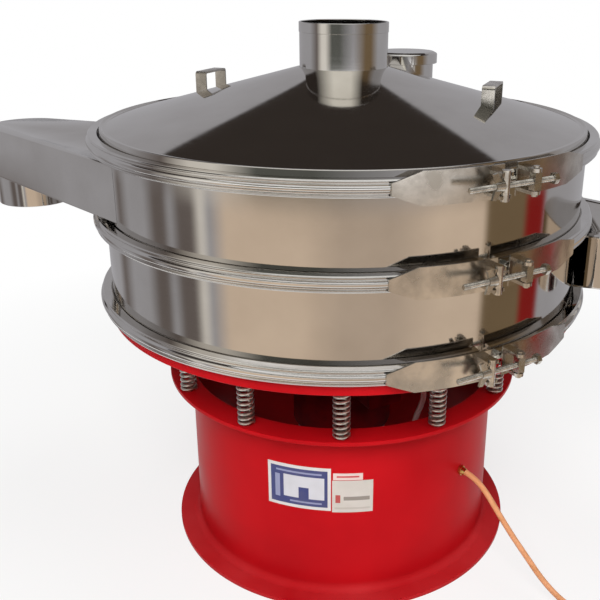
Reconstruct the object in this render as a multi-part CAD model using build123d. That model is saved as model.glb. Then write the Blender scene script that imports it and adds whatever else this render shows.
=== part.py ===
from build123d import *
from math import cos, radians, sin, tan
import os

# Round vibrating sieve: a drum-shaped base, a ring of coil springs, and a vibrating stack of a
# table with its motor, two decks with a screen between them, and a conical lid with a feed spout.
# Sizes are in millimetres. Heights count from the floor. Angles are in degrees, from the front
# (-Y) towards the right (+X).

# Sheet metal and clearances
sheet = 3.0             # stainless sheet of the decks, lid, chutes and spout
weld_gap = 0.2          # room between two pieces that are welded or bolted together
running_gap = 0.06      # radial room of a pin or shaft in its hole
free_gap = 0.5          # room between pieces that pass each other

# Base drum
base_height = 396.0
drum_radius = 346.0
drum_wall = 5.0
base_ring_margin = 1.5  # rings past the springs
base_plate = 9.0
weld_flare = 16.0       # slanted weld between the drum and its two rings
anchor_hole_radius = 7.0
anchor_stand = 30.0     # anchor holes from the drum's wall
anchor_angles = (0, 120, 240)

# Springs between base and table
spring_count = 12
spring_stand = 29.0     # springs' centres from the drum's wall
spring_radius = 17.5    # outside
spring_wire = 6.0
spring_length = 117.0
spring_turns = 7
spring_sides = 8        # straight stretches in one turn
stud_flat = 9.0         # half the width across the flats of the hexagon inside a spring's end
stud_height = 10.0

# Vibrating table
table_depth = 84.0      # spring seat to the middle of the bottom joint
table_plate = 10.0
table_seat_reach = 27.0 # how far the flat seat goes past the spring circle
table_lip_reach = 7.0   # lip past the deck's wall
table_lip_height = 23.0
table_lip_wall = 8.0
table_lip_room = 2.0    # between the lip and the clamp band above it

# Decks, joint by joint
deck_radius = 500.0
upper_deck_height = 156.5
lower_deck_extra = 11.0 # how much taller the lower deck is
flange_reach = 13.0
flange_edge = 3.0
flange_root = 7.0
joint_gap = 8.0         # what a clamp holds between two flanges
gasket_depth = 22.0
screen_ring_depth = 42.0
screen_ring_height = 4.0
mesh_thickness = 1.0
support_bar = 5.0
support_bar_height = 20.0
support_spacing = 156.0
dome_rise = 62.0

# Chutes
chute_heading = -135.0  # angle of the upper chute's run, from the front towards the right
chute_inset = 12.0      # straight side inside the deck's tangent
chute_length = 138.0    # centre of the round end past the deck's radius, along the run
chute_end_radius = 88.0
chute_spread = 26.6     # angle between the chute's two sides
chute_top_drop = 24.0   # top plate below the joint above it
chute_low_rise = 22.5   # chute's floor above the joint below it
collar_step = 4.0       # collar inside the round end
collar_height = 67.0

# Lid and feed spout
lid_rise = 87.0
lid_gutter = 6.0
gutter_lift = 1.0       # gutter above the lid's seat
lid_bead_height = 10.0
lid_bead_width = 12.0
neck_radius = 76.0
neck_height = 17.0
spout_flare = 15.0      # spout wider than its neck, all round
flare_height = 24.0
spout_height = 85.0
hem_height = 20.0
hem_thickness = 1.0

# Strap handles on the lid
handle_angle = 70.0
handle_circle_radius = 311.0
handle_span = 96.0
handle_height = 50.0
handle_width = 25.0
handle_thickness = 4.0
handle_bend = 7.0       # outside of the strap's bends

# Sight port on the lid
port_angle = 150.0
port_circle_radius = 290.0
port_radius = 66.0
port_height = 62.0      # collar above the lid at the port's centre
cap_overhang = 9.0
cap_skirt = 26.0
cap_edge = 9.0          # slanted edge of the cap's top

# Clamp bands and their closures
band_stand = 12.0       # band's outside past the flanges
band_wall = 3.0
band_round = 8.0        # slanted edge of the band, along its radius
band_round_drop = 5.6   # and along its height
band_crown = 1.4
band_tip_gap = 3.0      # tip of the band's leg from the deck wall
closure_angle = 30.5
closure_gap = 27.0      # between the two ends of the band
plate_thickness = 3.0
plate_height = 56.0
hook_plate_length = 188.0
hook_plate_taper = 46.0
hook_plate_end = 20.0
ear_plate_length = 188.0
ear_plate_taper = 56.0
ear_plate_end = 28.0
barrel_spacing = 62.0   # hook barrel to pivot barrel
barrel_radius = 7.0
barrel_height = 50.0
arm_thickness = 6.0
arm_spacing = 30.6      # free height between the two arms of a hook or ear
arm_wall = 4.0
hook_lip = 4.0          # hook's lips past the bolt's centre line
bolt_radius = 5.0
bolt_tail = 48.0        # past the pivot barrel
bolt_thread = 56.0      # past the hook barrel
journal_radius = 5.0
barrel_flat = 5.5       # wing nut's seat from the hook barrel's axis
nut_flat = 8.5
nut_height = 8.0
wing_hub_radius = 9.0
wing_hub_length = 16.0
wing_hub_taper = 1.8
wing_root = 5.4         # wing's root from the nut's axis
wing_waist = 14.5       # where a wing is widest
wing_span = 22.0
wing_lean = 8.0
wing_tip_start = 4.8    # rounded tip, from the lean
wing_tip_end = 12.8
wing_tip_drop = 1.3
wing_thickness = 4.0
wing_room = 1.8         # between a turning wing and the clamp plates

# Vibration motor
motor_radius = 115.0
motor_wall = 18.0
motor_length = 295.0
motor_rise = 22.0       # above the table's plate
motor_flange_reach = 70.0
motor_flange_thickness = 16.0
motor_bolt_count = 6
motor_bolt_radius = 6.0
motor_nut_flat = 9.5
motor_nut_height = 8.0
shield_thickness = 14.0
bearing_radius = 36.0
shaft_radius = 20.0
shaft_end = 64.0        # past each end shield
core_radius = 64.0
core_length = 150.0
air_gap = 1.0
weight_radius = 104.0
weight_hub_radius = 36.0
weight_height = 40.0
weight_gap = 6.0
box_width = 84.0
box_depth = 72.0
box_height = 70.0
box_neck_width = 50.0
box_neck_height = 42.0
box_angle = 30.5
box_drop = 98.0         # box's top below the table's plate
entry_reach = 57.0      # cable's entry from the motor's housing
entry_height = 9.0      # cable's end above the box
entry_gap = 2.4         # cable's end above the box's entry, which shakes under it

# Cable, gland and plug
cable_radius = 6.0
cable_sides = 8         # flat sides of a cable's plain solid
bend_share = 0.45       # part of a run that a bend may take at each end
gland_angle = 47.5
gland_height = 232.0
gland_radius = 11.0
gland_length = 14.0     # outside the drum's wall
gland_depth = 17.0      # inside it
gland_nose = 8.0
gland_nose_radius = 9.0
gland_lip = 1.0         # nose past the cable at its thin end
gland_neck_wall = 2.0
supply_run = 315.0      # from the gland's nose out to the coil
coil_radius = 66.0      # middle of the turns
coil_turn = 143.1       # where the cable meets the coil, from the coil's front
coil_lift = 2.0
coil_layers = 2
tie_width = 8.0
tie_thickness = 1.6
plug_lead = 82.0        # from the coil to the plug
plug_shift = 5.3        # plug's axis in front of the coil
plug_radius = 27.0
plug_length = 92.0
plug_taper = 34.0
plug_pin_radius = 3.0
plug_pin_length = 24.0
plug_pin_count = 4
plug_wall = 3.0

# Supply cable from the gland to the coil: share of the run outwards, angle past the gland's, and
# share of the gland's height that is left
supply_shares = (
    (0.0, 0.0, 1.0),
    (0.0825, 0.0, 0.9777),
    (0.1714, 0.1, 0.8884),
    (0.2730, 0.4, 0.7321),
    (0.3937, 1.0, 0.5580),
    (0.5079, 1.6, 0.4174),
    (0.6127, 2.1, 0.2768),
    (0.7143, 2.4, 0.1429),
    (0.8063, 2.6, 0.0469),
    (0.9048, 2.8, 0.0027),
    (1.0, 2.9, 0.0),
)

# Cable from the gland to the motor's terminal box, inside the drum: shares of the way inwards,
# round the axis and upwards
motor_shares = (
    (0.0, 0.0, 0.0),
    (0.1847, 0.0588, -0.0052),
    (0.3885, 0.1471, 0.0313),
    (0.5350, 0.2647, 0.1563),
    (0.5669, 0.3824, 0.3438),
    (0.4904, 0.5, 0.5521),
    (0.3439, 0.6176, 0.75),
    (0.2357, 0.6941, 0.9375),
    (0.2420, 0.7647, 1.1146),
    (0.3694, 0.8294, 1.2396),
    (0.5669, 0.8882, 1.3021),
    (0.7707, 0.9412, 1.2708),
    (0.9427, 0.9824, 1.1563),
    (1.0, 1.0, 1.0),
)

# Cable from the coil to the plug: shares of the way along, across and up
plug_shares = (
    (0.0, 0.0, 0.0),
    (0.488, 0.528, 0.286),
    (1.0, 1.0, 1.0),
)

# Levels and radii that follow from the sizes above
spring_circle_radius = drum_radius + spring_stand
base_ring_radius = spring_circle_radius + spring_radius + base_ring_margin
anchor_circle_radius = drum_radius + anchor_stand
table_seat = base_height + spring_length
bottom_joint = table_seat + table_depth
middle_joint = bottom_joint + upper_deck_height + lower_deck_extra
top_joint = middle_joint + upper_deck_height
half_joint = joint_gap / 2
deck_inner = deck_radius - sheet
flange_radius = deck_radius + flange_reach
lid_seat = top_joint + half_joint
cone_foot_radius = deck_inner - lid_gutter - lid_bead_width / 2
cone_foot = lid_seat + gutter_lift
neck_foot = cone_foot + lid_rise
neck_top = neck_foot + neck_height
spout_foot = neck_top + flare_height
spout_top = spout_foot + spout_height
spout_radius = neck_radius + spout_flare
cone_slope = lid_rise / (cone_foot_radius - neck_radius)
band_radius = flange_radius + band_stand
plate_inner = band_radius + weld_gap
plate_outer = plate_inner + plate_thickness
closure_reach = plate_outer + wing_span + wing_room
flange_slope = (flange_root - flange_edge) / flange_reach
band_inner = flange_radius + free_gap
band_tip = deck_radius + band_tip_gap
leg_low = half_joint + flange_edge + free_gap
leg_tip = leg_low + flange_slope * (flange_radius - band_tip)
band_half = leg_tip + band_wall + band_crown
centred_low = (Align.CENTER, Align.CENTER, Align.MIN)

os.makedirs("parts", exist_ok=True)


def save(node, *solids):
    """Write one node with its solids."""
    found = [solid for shape in solids for solid in shape.solids()]
    export_step(Compound(found), f"parts/{node}.step")


def around(radius, angle, height=0):
    """Point at a radius from the machine's axis, an angle from the front and a height."""
    turn = radians(angle)
    return Vector(radius * sin(turn), -radius * cos(turn), height)


def spun(*profile):
    """Solid turned about the machine's axis from (radius, height) corners."""
    return revolve(make_face(Plane.XZ * Polyline(*profile, close=True)), Axis.Z)


def rod(radius, low, high, centre=(0, 0)):
    """Upright round bar between two heights."""
    return Pos(centre[0], centre[1], low) * Cylinder(radius, high - low, align=centred_low)


def tube(radius, wall, low, high, centre=(0, 0)):
    """Upright tube, by its outer radius."""
    return rod(radius, low, high, centre) - rod(radius - wall, low, high, centre)


def hexagon(flat, height):
    """Hexagonal prism on the ground plane, by half its width across the flats."""
    return extrude(RegularPolygon(flat, 6, major_radius=False), height)


def ring_of(shape, count, radius):
    """Copies of a shape evenly round the axis, the first at the front."""
    return [Pos(around(radius, 360 / count * index)) * shape for index in range(count)]


def radial_plane(angle, radius, height):
    """Plane that faces outwards at a point round the machine, its x level and its y upwards."""
    return Plane(around(radius, angle, height), x_dir=around(1, angle + 90), z_dir=around(1, angle))


def bend_radii(points):
    """Largest arcs that a route's runs leave room for, one for each inner point."""
    runs = [after - before for before, after in zip(points, points[1:])]
    radii = []
    for one, two in zip(runs, runs[1:]):
        shorter = min(one.length, two.length)
        radii.append(bend_share * shorter / tan(radians(one.get_angle(two)) / 2))
    return radii


def cable(name, points):
    """Round cable along straight runs joined by tangent arcs."""
    radii = bend_radii(points)
    path = FilletPolyline(*points, radius=radii)
    section = RegularPolygon(cable_radius, cable_sides)
    solid = sweep(Plane(path @ 0, z_dir=path % 0) * section, path=path)
    print(name, "length", round(path.length), "radii", [round(radius) for radius in radii])
    print(name, "volume over section times length", round(solid.volume / section.area / path.length, 4))
    return solid


# Base drum: one welded piece of a rolled wall, a foot ring and a spring ring
base_inner = drum_radius - drum_wall
flare_radius = drum_radius + weld_flare
base_drum = spun(
    (base_inner, 0),
    (base_ring_radius, 0),
    (base_ring_radius, base_plate),
    (flare_radius, base_plate),
    (drum_radius, base_plate + weld_flare),
    (drum_radius, base_height - base_plate - weld_flare),
    (flare_radius, base_height - base_plate),
    (base_ring_radius, base_height - base_plate),
    (base_ring_radius, base_height),
    (base_inner, base_height),
)
for angle in anchor_angles:
    spot = around(anchor_circle_radius, angle)
    base_drum -= rod(anchor_hole_radius, 0, base_plate, (spot.X, spot.Y))
gland_neck_radius = cable_radius + gland_neck_wall
gland_plane = radial_plane(gland_angle, drum_radius, gland_height)
base_drum -= extrude(gland_plane * Circle(gland_neck_radius + weld_gap), drum_wall * 2, both=True)
save("base_drum", base_drum)

# Cable gland: a hexagon and a tapered nose outside, a neck through the wall and a nut inside
gland = extrude(gland_plane * RegularPolygon(gland_radius, 6), gland_length - gland_nose)
gland += loft([
    Plane(gland_plane.location * Pos(0, 0, gland_length - gland_nose)) * Circle(gland_nose_radius),
    Plane(gland_plane.location * Pos(0, 0, gland_length)) * Circle(cable_radius + gland_lip),
])
gland += extrude(gland_plane * Circle(gland_neck_radius), -gland_depth)
gland += extrude(
    Plane(gland_plane.location * Pos(0, 0, -gland_depth)) * RegularPolygon(gland_radius, 6),
    gland_depth - drum_wall - sheet,
)
wall_seat = tube(drum_radius, drum_wall, 0, base_height) - rod(base_inner - weld_gap, 0, base_height)
gland -= wall_seat - extrude(gland_plane * Circle(gland_neck_radius), drum_wall * 2, both=True)
save("cable_gland", gland)

# Springs and the hexagons that keep their ends in place
coil_middle = spring_radius - spring_wire / 2
spring_steps = spring_turns * spring_sides
spring_rise = (spring_length - spring_wire - 2 * weld_gap) / spring_steps
wire_face = Plane.XZ * (Pos(coil_middle, 0) * Rectangle(spring_wire, spring_wire))
wire_sections = [
    Pos(0, 0, weld_gap + spring_wire / 2 + spring_rise * step)
    * Rot(0, 0, 360 / spring_sides * step)
    * wire_face
    for step in range(spring_steps + 1)
]
spring = Pos(0, 0, base_height) * loft(wire_sections, ruled=True)
save("springs", *ring_of(spring, spring_count, spring_circle_radius))
stud = hexagon(stud_flat, stud_height)
lower_stud = Pos(0, 0, base_height) * stud
save("lower_spring_studs", *ring_of(lower_stud, spring_count, spring_circle_radius))
upper_stud = Pos(0, 0, table_seat - stud_height) * stud
save("upper_spring_studs", *ring_of(upper_stud, spring_count, spring_circle_radius))

# Vibrating table: a flat spring seat, a conical wall, a lip and the flange of the bottom joint
table_flange = bottom_joint - half_joint
table_top = table_seat + table_plate
seat_radius = spring_circle_radius + table_seat_reach
lip_top = bottom_joint - band_half - table_lip_room
lip_low = lip_top - table_lip_height
table_lip_radius = deck_radius + table_lip_reach
lip_inner = table_lip_radius - table_lip_wall
table_hole = motor_radius + free_gap
table = spun(
    (table_hole, table_seat),
    (seat_radius, table_seat),
    (lip_inner, lip_low + sheet),
    (lip_inner, lip_low),
    (table_lip_radius, lip_low),
    (table_lip_radius, lip_top),
    (deck_radius, lip_top),
    (deck_radius, table_flange - flange_root),
    (flange_radius, table_flange - flange_edge),
    (flange_radius, table_flange),
    (deck_inner - table_lip_wall, table_flange),
    (deck_inner - table_lip_wall, lip_low + table_plate + sheet),
    (seat_radius, table_top),
    (table_hole, table_top),
)
motor_bolt_circle = motor_radius + motor_flange_reach / 2
bolt_hole = rod(motor_bolt_radius + weld_gap, table_seat - motor_flange_thickness, table_top)
for hole in ring_of(bolt_hole, motor_bolt_count, motor_bolt_circle):
    table -= hole
save("table", table)

# Vibration motor: flanged housing, end shields, bearings, stator, and bolts through the table
motor_top = table_top + motor_rise
motor_low = motor_top - motor_length
motor_bore = motor_radius - motor_wall
motor_flange_radius = motor_radius + motor_flange_reach
housing = spun(
    (motor_bore, motor_low),
    (motor_radius, motor_low),
    (motor_radius, table_seat - motor_flange_thickness),
    (motor_flange_radius, table_seat - motor_flange_thickness),
    (motor_flange_radius, table_seat),
    (motor_radius, table_seat),
    (motor_radius, motor_top),
    (motor_bore, motor_top),
)
for hole in ring_of(bolt_hole, motor_bolt_count, motor_bolt_circle):
    housing -= hole
save("motor_housing", housing)
shield_lows = (motor_low - shield_thickness, motor_top)
save("motor_end_shields", *[
    tube(motor_radius, motor_radius - bearing_radius - weld_gap, low, low + shield_thickness)
    for low in shield_lows
])
save("bearings", *[
    tube(bearing_radius, bearing_radius - shaft_radius - running_gap, low, low + shield_thickness)
    for low in shield_lows
])
core_low = (motor_low + motor_top - core_length) / 2
core_high = core_low + core_length
stator_inner = core_radius + air_gap
save("stator", tube(motor_bore - weld_gap, motor_bore - weld_gap - stator_inner, core_low, core_high))
motor_nut = hexagon(motor_nut_flat, motor_nut_height)
flange_low = table_seat - motor_flange_thickness
motor_bolt = Pos(0, 0, flange_low - motor_nut_height) * motor_nut
motor_bolt += rod(motor_bolt_radius, flange_low, table_top)
motor_bolt += Pos(0, 0, table_top) * motor_nut
save("motor_bolts", *ring_of(motor_bolt, motor_bolt_count, motor_bolt_circle))

# Terminal box on the motor's side, with the cable's entry on top
box_top = table_seat - box_drop
box_plane = radial_plane(box_angle, motor_radius, box_top - box_height / 2)
terminal_box = extrude(box_plane * RectangleRounded(box_width, box_height, sheet * 2), box_depth)
terminal_box += extrude(box_plane * Rectangle(box_neck_width, box_neck_height), -motor_wall)
terminal_box -= rod(motor_radius + weld_gap, motor_low, motor_top)
entry_radius = motor_radius + entry_reach
entry = around(entry_radius, box_angle)
entry_top = box_top + entry_height
terminal_box += rod(gland_radius, box_top - sheet, entry_top - entry_gap, (entry.X, entry.Y))
save("terminal_box", terminal_box)

# Rotor: shaft, core and the two eccentric weights, the lower one adjustable in angle
shaft_low = shield_lows[0] - shaft_end
shaft_high = shield_lows[1] + shield_thickness + shaft_end
save("rotor_shaft", rod(shaft_radius, shaft_low, shaft_high))
save("rotor_core", tube(core_radius, core_radius - shaft_radius - weld_gap, core_low, core_high))


def eccentric_weight(low, bore):
    """Half-round weight with a round hub, its heavy side to the front."""
    half = Rectangle(2 * weight_radius, weight_radius, align=(Align.CENTER, Align.MAX))
    plan = (Circle(weight_radius) & half) + Circle(weight_hub_radius) - Circle(bore)
    return Pos(0, 0, low) * extrude(plan, weight_height)


upper_weight_low = shield_lows[1] + shield_thickness + weight_gap
lower_weight_low = shield_lows[0] - weight_gap - weight_height
save("upper_weight", eccentric_weight(upper_weight_low, shaft_radius + weld_gap))
save("lower_weight", eccentric_weight(lower_weight_low, shaft_radius + running_gap))


# Chutes: flat tangential boxes that narrow to a round end over an outlet collar
chute_offset = deck_radius - chute_end_radius - chute_inset
chute_reach = deck_radius + chute_length
chute_height = upper_deck_height - chute_top_drop - chute_low_rise
collar_radius = chute_end_radius - collar_step
chute_run = around(1, chute_heading)
chute_plane = Plane((0, 0, 0), x_dir=chute_run, z_dir=(0, 0, 1))
chute_end = chute_plane.from_local_coords((chute_reach, chute_offset, 0))
chute_spot = (chute_end.X, chute_end.Y)
chute_top = top_joint - chute_top_drop
chute_low = chute_top - chute_height
collar_low = chute_low - collar_height
spread = radians(chute_spread)
side_touch = (
    chute_reach + chute_end_radius * sin(spread),
    chute_offset - chute_end_radius * cos(spread),
)
chute_sides = make_face(Polyline(
    (0, chute_offset + chute_end_radius),
    (chute_reach, chute_offset + chute_end_radius),
    (chute_reach, chute_offset),
    side_touch,
    (0, side_touch[1] - side_touch[0] * tan(spread)),
    close=True,
))
chute_plan = chute_sides + Pos(chute_reach, chute_offset) * Circle(chute_end_radius)
chute_outside = extrude(Pos(0, 0, chute_low) * (chute_plane * chute_plan), chute_height)
room_plan = chute_plane * offset(chute_plan, -sheet)
chute_room = extrude(Pos(0, 0, chute_low + sheet) * room_plan, chute_height - 2 * sheet)
chute = chute_outside - chute_room - rod(deck_radius + weld_gap, 0, top_joint)
chute -= rod(collar_radius - sheet, collar_low, chute_low + sheet, chute_spot)
chute += tube(collar_radius, sheet, collar_low, chute_low, chute_spot)
to_lower_deck = Pos(0, 0, middle_joint - top_joint) * Rot(0, 0, 180)
save("upper_chute", chute)
save("lower_chute", to_lower_deck * chute)


# Decks: rolled walls with a flange at each end, and the fines dome in the lower one
def deck(low, high):
    """Deck wall between two joints, with its two flanges."""
    return spun(
        (deck_inner, low),
        (flange_radius, low),
        (flange_radius, low + flange_edge),
        (deck_radius, low + flange_root),
        (deck_radius, high - flange_root),
        (flange_radius, high - flange_edge),
        (flange_radius, high),
        (deck_inner, high),
    )


save("upper_deck", deck(middle_joint + half_joint, top_joint - half_joint) - chute_room)
lower_deck = deck(bottom_joint + half_joint, middle_joint - half_joint)
save("lower_deck", lower_deck - to_lower_deck * chute_room)
dome_edge = middle_joint - chute_top_drop - chute_height + sheet
dome_radius = deck_inner - weld_gap
save("fines_dome", spun(
    (0, dome_edge + dome_rise),
    (0, dome_edge + dome_rise - sheet),
    (dome_radius, dome_edge - sheet),
    (dome_radius, dome_edge),
))

# Screen between the decks: a flat ring, the mesh stretched over it and bars that carry the mesh
ring_low = middle_joint - half_joint
ring_high = ring_low + screen_ring_height
ring_inner = flange_radius - screen_ring_depth
gasket_inner = flange_radius - gasket_depth
save("screen_ring", tube(flange_radius, screen_ring_depth, ring_low, ring_high))
save("screen_mesh", rod(gasket_inner - free_gap, ring_high, ring_high + mesh_thickness))
bar_reach = 2 * ring_inner
bars = [
    Pos(offset, 0) * Rectangle(support_bar, bar_reach)
    for offset in (-support_spacing, 0, support_spacing)
]
bars += [
    Pos(0, offset) * Rectangle(bar_reach, support_bar)
    for offset in (-support_spacing, 0, support_spacing)
]
grid_plan = Sketch() + bars
grid = Pos(0, 0, ring_high - support_bar_height) * extrude(grid_plan, support_bar_height)
save("screen_support", grid & rod(ring_inner - weld_gap, ring_high - support_bar_height, ring_high))
gaskets = {
    "top": (top_joint - half_joint, top_joint + half_joint),
    "middle": (ring_high, middle_joint + half_joint),
    "bottom": (bottom_joint - half_joint, bottom_joint + half_joint),
}
for level, (low, high) in gaskets.items():
    save(f"{level}_gasket", tube(flange_radius, gasket_depth, low, high))

# Lid: a flat cone, a gutter, a raised bead and the flange of the top joint
bead_radius = cone_foot_radius + lid_gutter + lid_bead_width / 2
lid = spun(
    (neck_radius + weld_gap, neck_foot),
    (cone_foot_radius, cone_foot),
    (cone_foot_radius + lid_gutter, cone_foot),
    (bead_radius, lid_seat + lid_bead_height),
    (deck_radius, lid_seat + flange_root),
    (flange_radius, lid_seat + flange_edge),
    (flange_radius, lid_seat),
    (cone_foot_radius + lid_gutter, lid_seat),
    (cone_foot_radius, cone_foot - sheet),
    (neck_radius + weld_gap, neck_foot - sheet),
)
port_spot = around(port_circle_radius, port_angle)
port_centre = (port_spot.X, port_spot.Y)
port_lid_level = neck_foot - cone_slope * (port_circle_radius - neck_radius)
port_top = port_lid_level + port_height
port_depth = 2 * cone_slope * port_radius + 2 * sheet
lid -= rod(port_radius - sheet, port_lid_level - port_depth, port_top, port_centre)
save("lid", lid)

# What stands on the lid is cut to the cone
cone_reach = cone_foot_radius + lid_gutter
under_cone = spun(
    (0, 0),
    (cone_reach, 0),
    (cone_reach, cone_foot - cone_slope * lid_gutter + weld_gap),
    (0, neck_foot + cone_slope * neck_radius + weld_gap),
)
save("feed_spout", spun(
    (neck_radius - sheet, neck_foot - 2 * sheet),
    (neck_radius, neck_foot - 2 * sheet),
    (neck_radius, neck_top),
    (spout_radius, spout_foot),
    (spout_radius, spout_top - hem_height),
    (spout_radius + hem_thickness, spout_top - hem_height),
    (spout_radius + hem_thickness, spout_top),
    (spout_radius - sheet, spout_top),
    (spout_radius - sheet, spout_foot),
    (neck_radius - sheet, neck_top),
))
port_collar = tube(port_radius, sheet, port_lid_level - port_depth, port_top, port_centre)
save("sight_port_collar", port_collar - under_cone)
cap_radius = port_radius + cap_overhang
cap_top = port_top + weld_gap + 2 * sheet
cap = spun(
    (0, cap_top),
    (0, cap_top - 2 * sheet),
    (cap_radius - sheet, cap_top - 2 * sheet),
    (cap_radius - sheet, cap_top - cap_skirt),
    (cap_radius, cap_top - cap_skirt),
    (cap_radius, cap_top - cap_edge / 2),
    (cap_radius - cap_edge, cap_top),
)
save("sight_port_cap", Pos(port_spot) * cap)


def strap_handle(angle):
    """Flat strap bent to an arch, its span along the lid's rim and its feet on the cone."""
    foot = neck_foot - cone_slope * (handle_circle_radius - neck_radius)
    plane = radial_plane(angle, handle_circle_radius, foot)
    leg = 2 * cone_slope * handle_width
    outside = Pos(0, (handle_height - leg) / 2) * Rectangle(handle_span, handle_height + leg)
    inside = Pos(0, -handle_thickness) * outside
    inside &= Rectangle(handle_span - 2 * handle_thickness, 4 * handle_height)
    outside = fillet(outside.vertices().sort_by(Axis.Y)[-2:], handle_bend)
    inside = fillet(inside.vertices().sort_by(Axis.Y)[-2:], handle_bend - handle_thickness)
    return extrude(plane * (outside - inside), handle_width / 2, both=True) - under_cone


save("lid_handles", strap_handle(handle_angle), strap_handle(handle_angle + 180))

# Clamp bands: a V-shaped channel round two flanges, open at the closure
band_upper = [
    (band_inner, leg_low),
    (band_tip, leg_tip),
    (band_tip, leg_tip + band_wall),
    (band_radius - band_round, band_half),
    (band_radius, band_half - band_round_drop),
]
band_lower = [(radius, -height) for radius, height in reversed(band_upper)]
closure_plane = radial_plane(closure_angle, 0, 0)
band_cut = extrude(
    closure_plane * Rectangle(closure_gap, 4 * band_half), closure_reach
)
band = spun(*band_upper, *band_lower) - band_cut
plate_ring = tube(plate_outer, plate_thickness, -plate_height, plate_height)


# Closure parts, seen from outside: x runs to the right round the machine, y up, z outwards
def closure_place(height):
    """Place of a closure's bolt centre at a joint."""
    return radial_plane(closure_angle, closure_reach, height).location


def curved_plate(start, taper, length, end_height, side):
    """Plate that follows the band, full height at the closure and cut to a narrow far end."""
    half = plate_height / 2
    far = start + length
    corners = [
        (side * start, -half),
        (side * (far - taper), -half),
        (side * far, -end_height / 2),
        (side * far, end_height / 2),
        (side * (far - taper), half),
        (side * start, half),
    ]
    return extrude(closure_plane * make_face(Polyline(*corners, close=True)), closure_reach) & plate_ring


def arm_pair(face):
    """The same flat arm above and below the bolt, from its outline seen from above."""
    arm = extrude(face, arm_thickness)
    upper = Pos(0, 0, arm_spacing / 2) * arm
    return [upper, Pos(0, 0, -arm_spacing - arm_thickness) * upper]


half_spacing = barrel_spacing / 2
arm_root = closure_reach - plate_outer + flange_reach
upright = Plane((0, 0, 0), x_dir=(1, 0, 0), z_dir=(0, 1, 0))
over_plate = rod(plate_outer - weld_gap, -plate_height, plate_height)
closure_home = closure_place(0)


def seated(arms):
    """Arms brought to the closure, cut off at the plate that they are welded to."""
    return [closure_home * upright.location * arm - over_plate for arm in arms]


# Arms are drawn from above, x to the right and y inwards to the machine
hook_half = barrel_radius + free_gap + arm_wall
hook_depth = arm_root + hook_lip
hook_face = Pos(-half_spacing, arm_root - hook_depth / 2) * Rectangle(2 * hook_half, hook_depth)
notch_radius = barrel_radius + free_gap
notch = Circle(notch_radius) + Pos(0, -hook_lip) * Rectangle(2 * notch_radius, 2 * hook_lip)
hook_face -= Pos(-half_spacing, 0) * notch
ear_half = journal_radius + arm_wall
ear_face = Pos(half_spacing, arm_root / 2) * Rectangle(2 * ear_half, arm_root)
ear_face += Pos(half_spacing, 0) * Circle(ear_half)
ear_face -= Pos(half_spacing, 0) * Circle(journal_radius + running_gap)
hook_plate = curved_plate(closure_gap / 2, hook_plate_taper, hook_plate_length, hook_plate_end, -1)
for arm in seated(arm_pair(hook_face)):
    hook_plate += arm
ear_plate = curved_plate(closure_gap / 2, ear_plate_taper, ear_plate_length, ear_plate_end, 1)
for arm in seated(arm_pair(ear_face)):
    ear_plate += arm

# Swing bolt with its two barrels, lock nut and wing nut, about the closure's own origin
bolt_low = -half_spacing - bolt_thread
bolt_high = half_spacing + bolt_tail
bolt = Plane((bolt_low, 0, 0), z_dir=(1, 0, 0)) * Cylinder(
    bolt_radius, bolt_high - bolt_low, align=centred_low
)
bolt_room = extrude(Plane.YZ * Circle(bolt_radius + weld_gap), barrel_spacing, both=True)
hook_barrel = upright * Cylinder(barrel_radius, barrel_height)
flat_cut = Pos(-barrel_flat, 0) * Rectangle(
    barrel_radius, 2 * wing_hub_radius + 2 * free_gap, align=(Align.MAX, Align.CENTER)
)
flat_cut += Rot(0, 0, 180) * flat_cut
hook_barrel -= extrude(flat_cut, barrel_radius, both=True)
hook_barrel = Pos(-half_spacing, 0, 0) * hook_barrel - bolt_room
pivot_barrel = Box(2 * barrel_radius, arm_spacing - 2 * free_gap, 2 * barrel_radius)
pivot_barrel += upright * Cylinder(journal_radius, barrel_height)
pivot_barrel = Pos(half_spacing, 0, 0) * pivot_barrel - bolt_room
lock_nut = Plane((bolt_high - sheet, 0, 0), z_dir=(-1, 0, 0)) * hexagon(nut_flat, nut_height)
lock_nut -= Plane((0, 0, 0), z_dir=(1, 0, 0)) * Cylinder(bolt_radius + weld_gap, 2 * bolt_high)
wing_seat = half_spacing + barrel_flat + weld_gap + running_gap
wing_profile = Polyline(
    (0, wing_root),
    (wing_lean, wing_waist),
    (wing_lean + wing_tip_start, wing_span),
    (wing_lean + wing_tip_end, wing_span - wing_tip_drop),
    (wing_hub_length, wing_root),
    close=True,
)
wing = extrude(make_face(wing_profile), wing_thickness / 2, both=True)
hub = Plane((0, 0, 0), z_dir=(1, 0, 0)) * Cone(
    wing_hub_radius, wing_hub_radius - wing_hub_taper, wing_hub_length, align=centred_low
)
wing_bore = extrude(Plane.YZ * Circle(bolt_radius + running_gap), 2 * wing_hub_length, both=True)
wing_nut = hub + wing + Rot(180, 0, 0) * wing - wing_bore
wing_nut = Pos(-wing_seat, 0, 0) * Rot(0, 0, 180) * wing_nut

for level, height in (("top", top_joint), ("middle", middle_joint), ("bottom", bottom_joint)):
    lift = Pos(0, 0, height)
    place = closure_place(height)
    save(f"{level}_clamp_band", lift * band)
    save(f"{level}_clamp_plates", lift * hook_plate, lift * ear_plate)
    save(f"{level}_swing_bolt", place * bolt)
    save(f"{level}_hook_barrel", place * hook_barrel)
    save(f"{level}_pivot_barrel", place * pivot_barrel)
    save(f"{level}_lock_nut", place * lock_nut)
    save(f"{level}_wing_nut", place * wing_nut)

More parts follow.
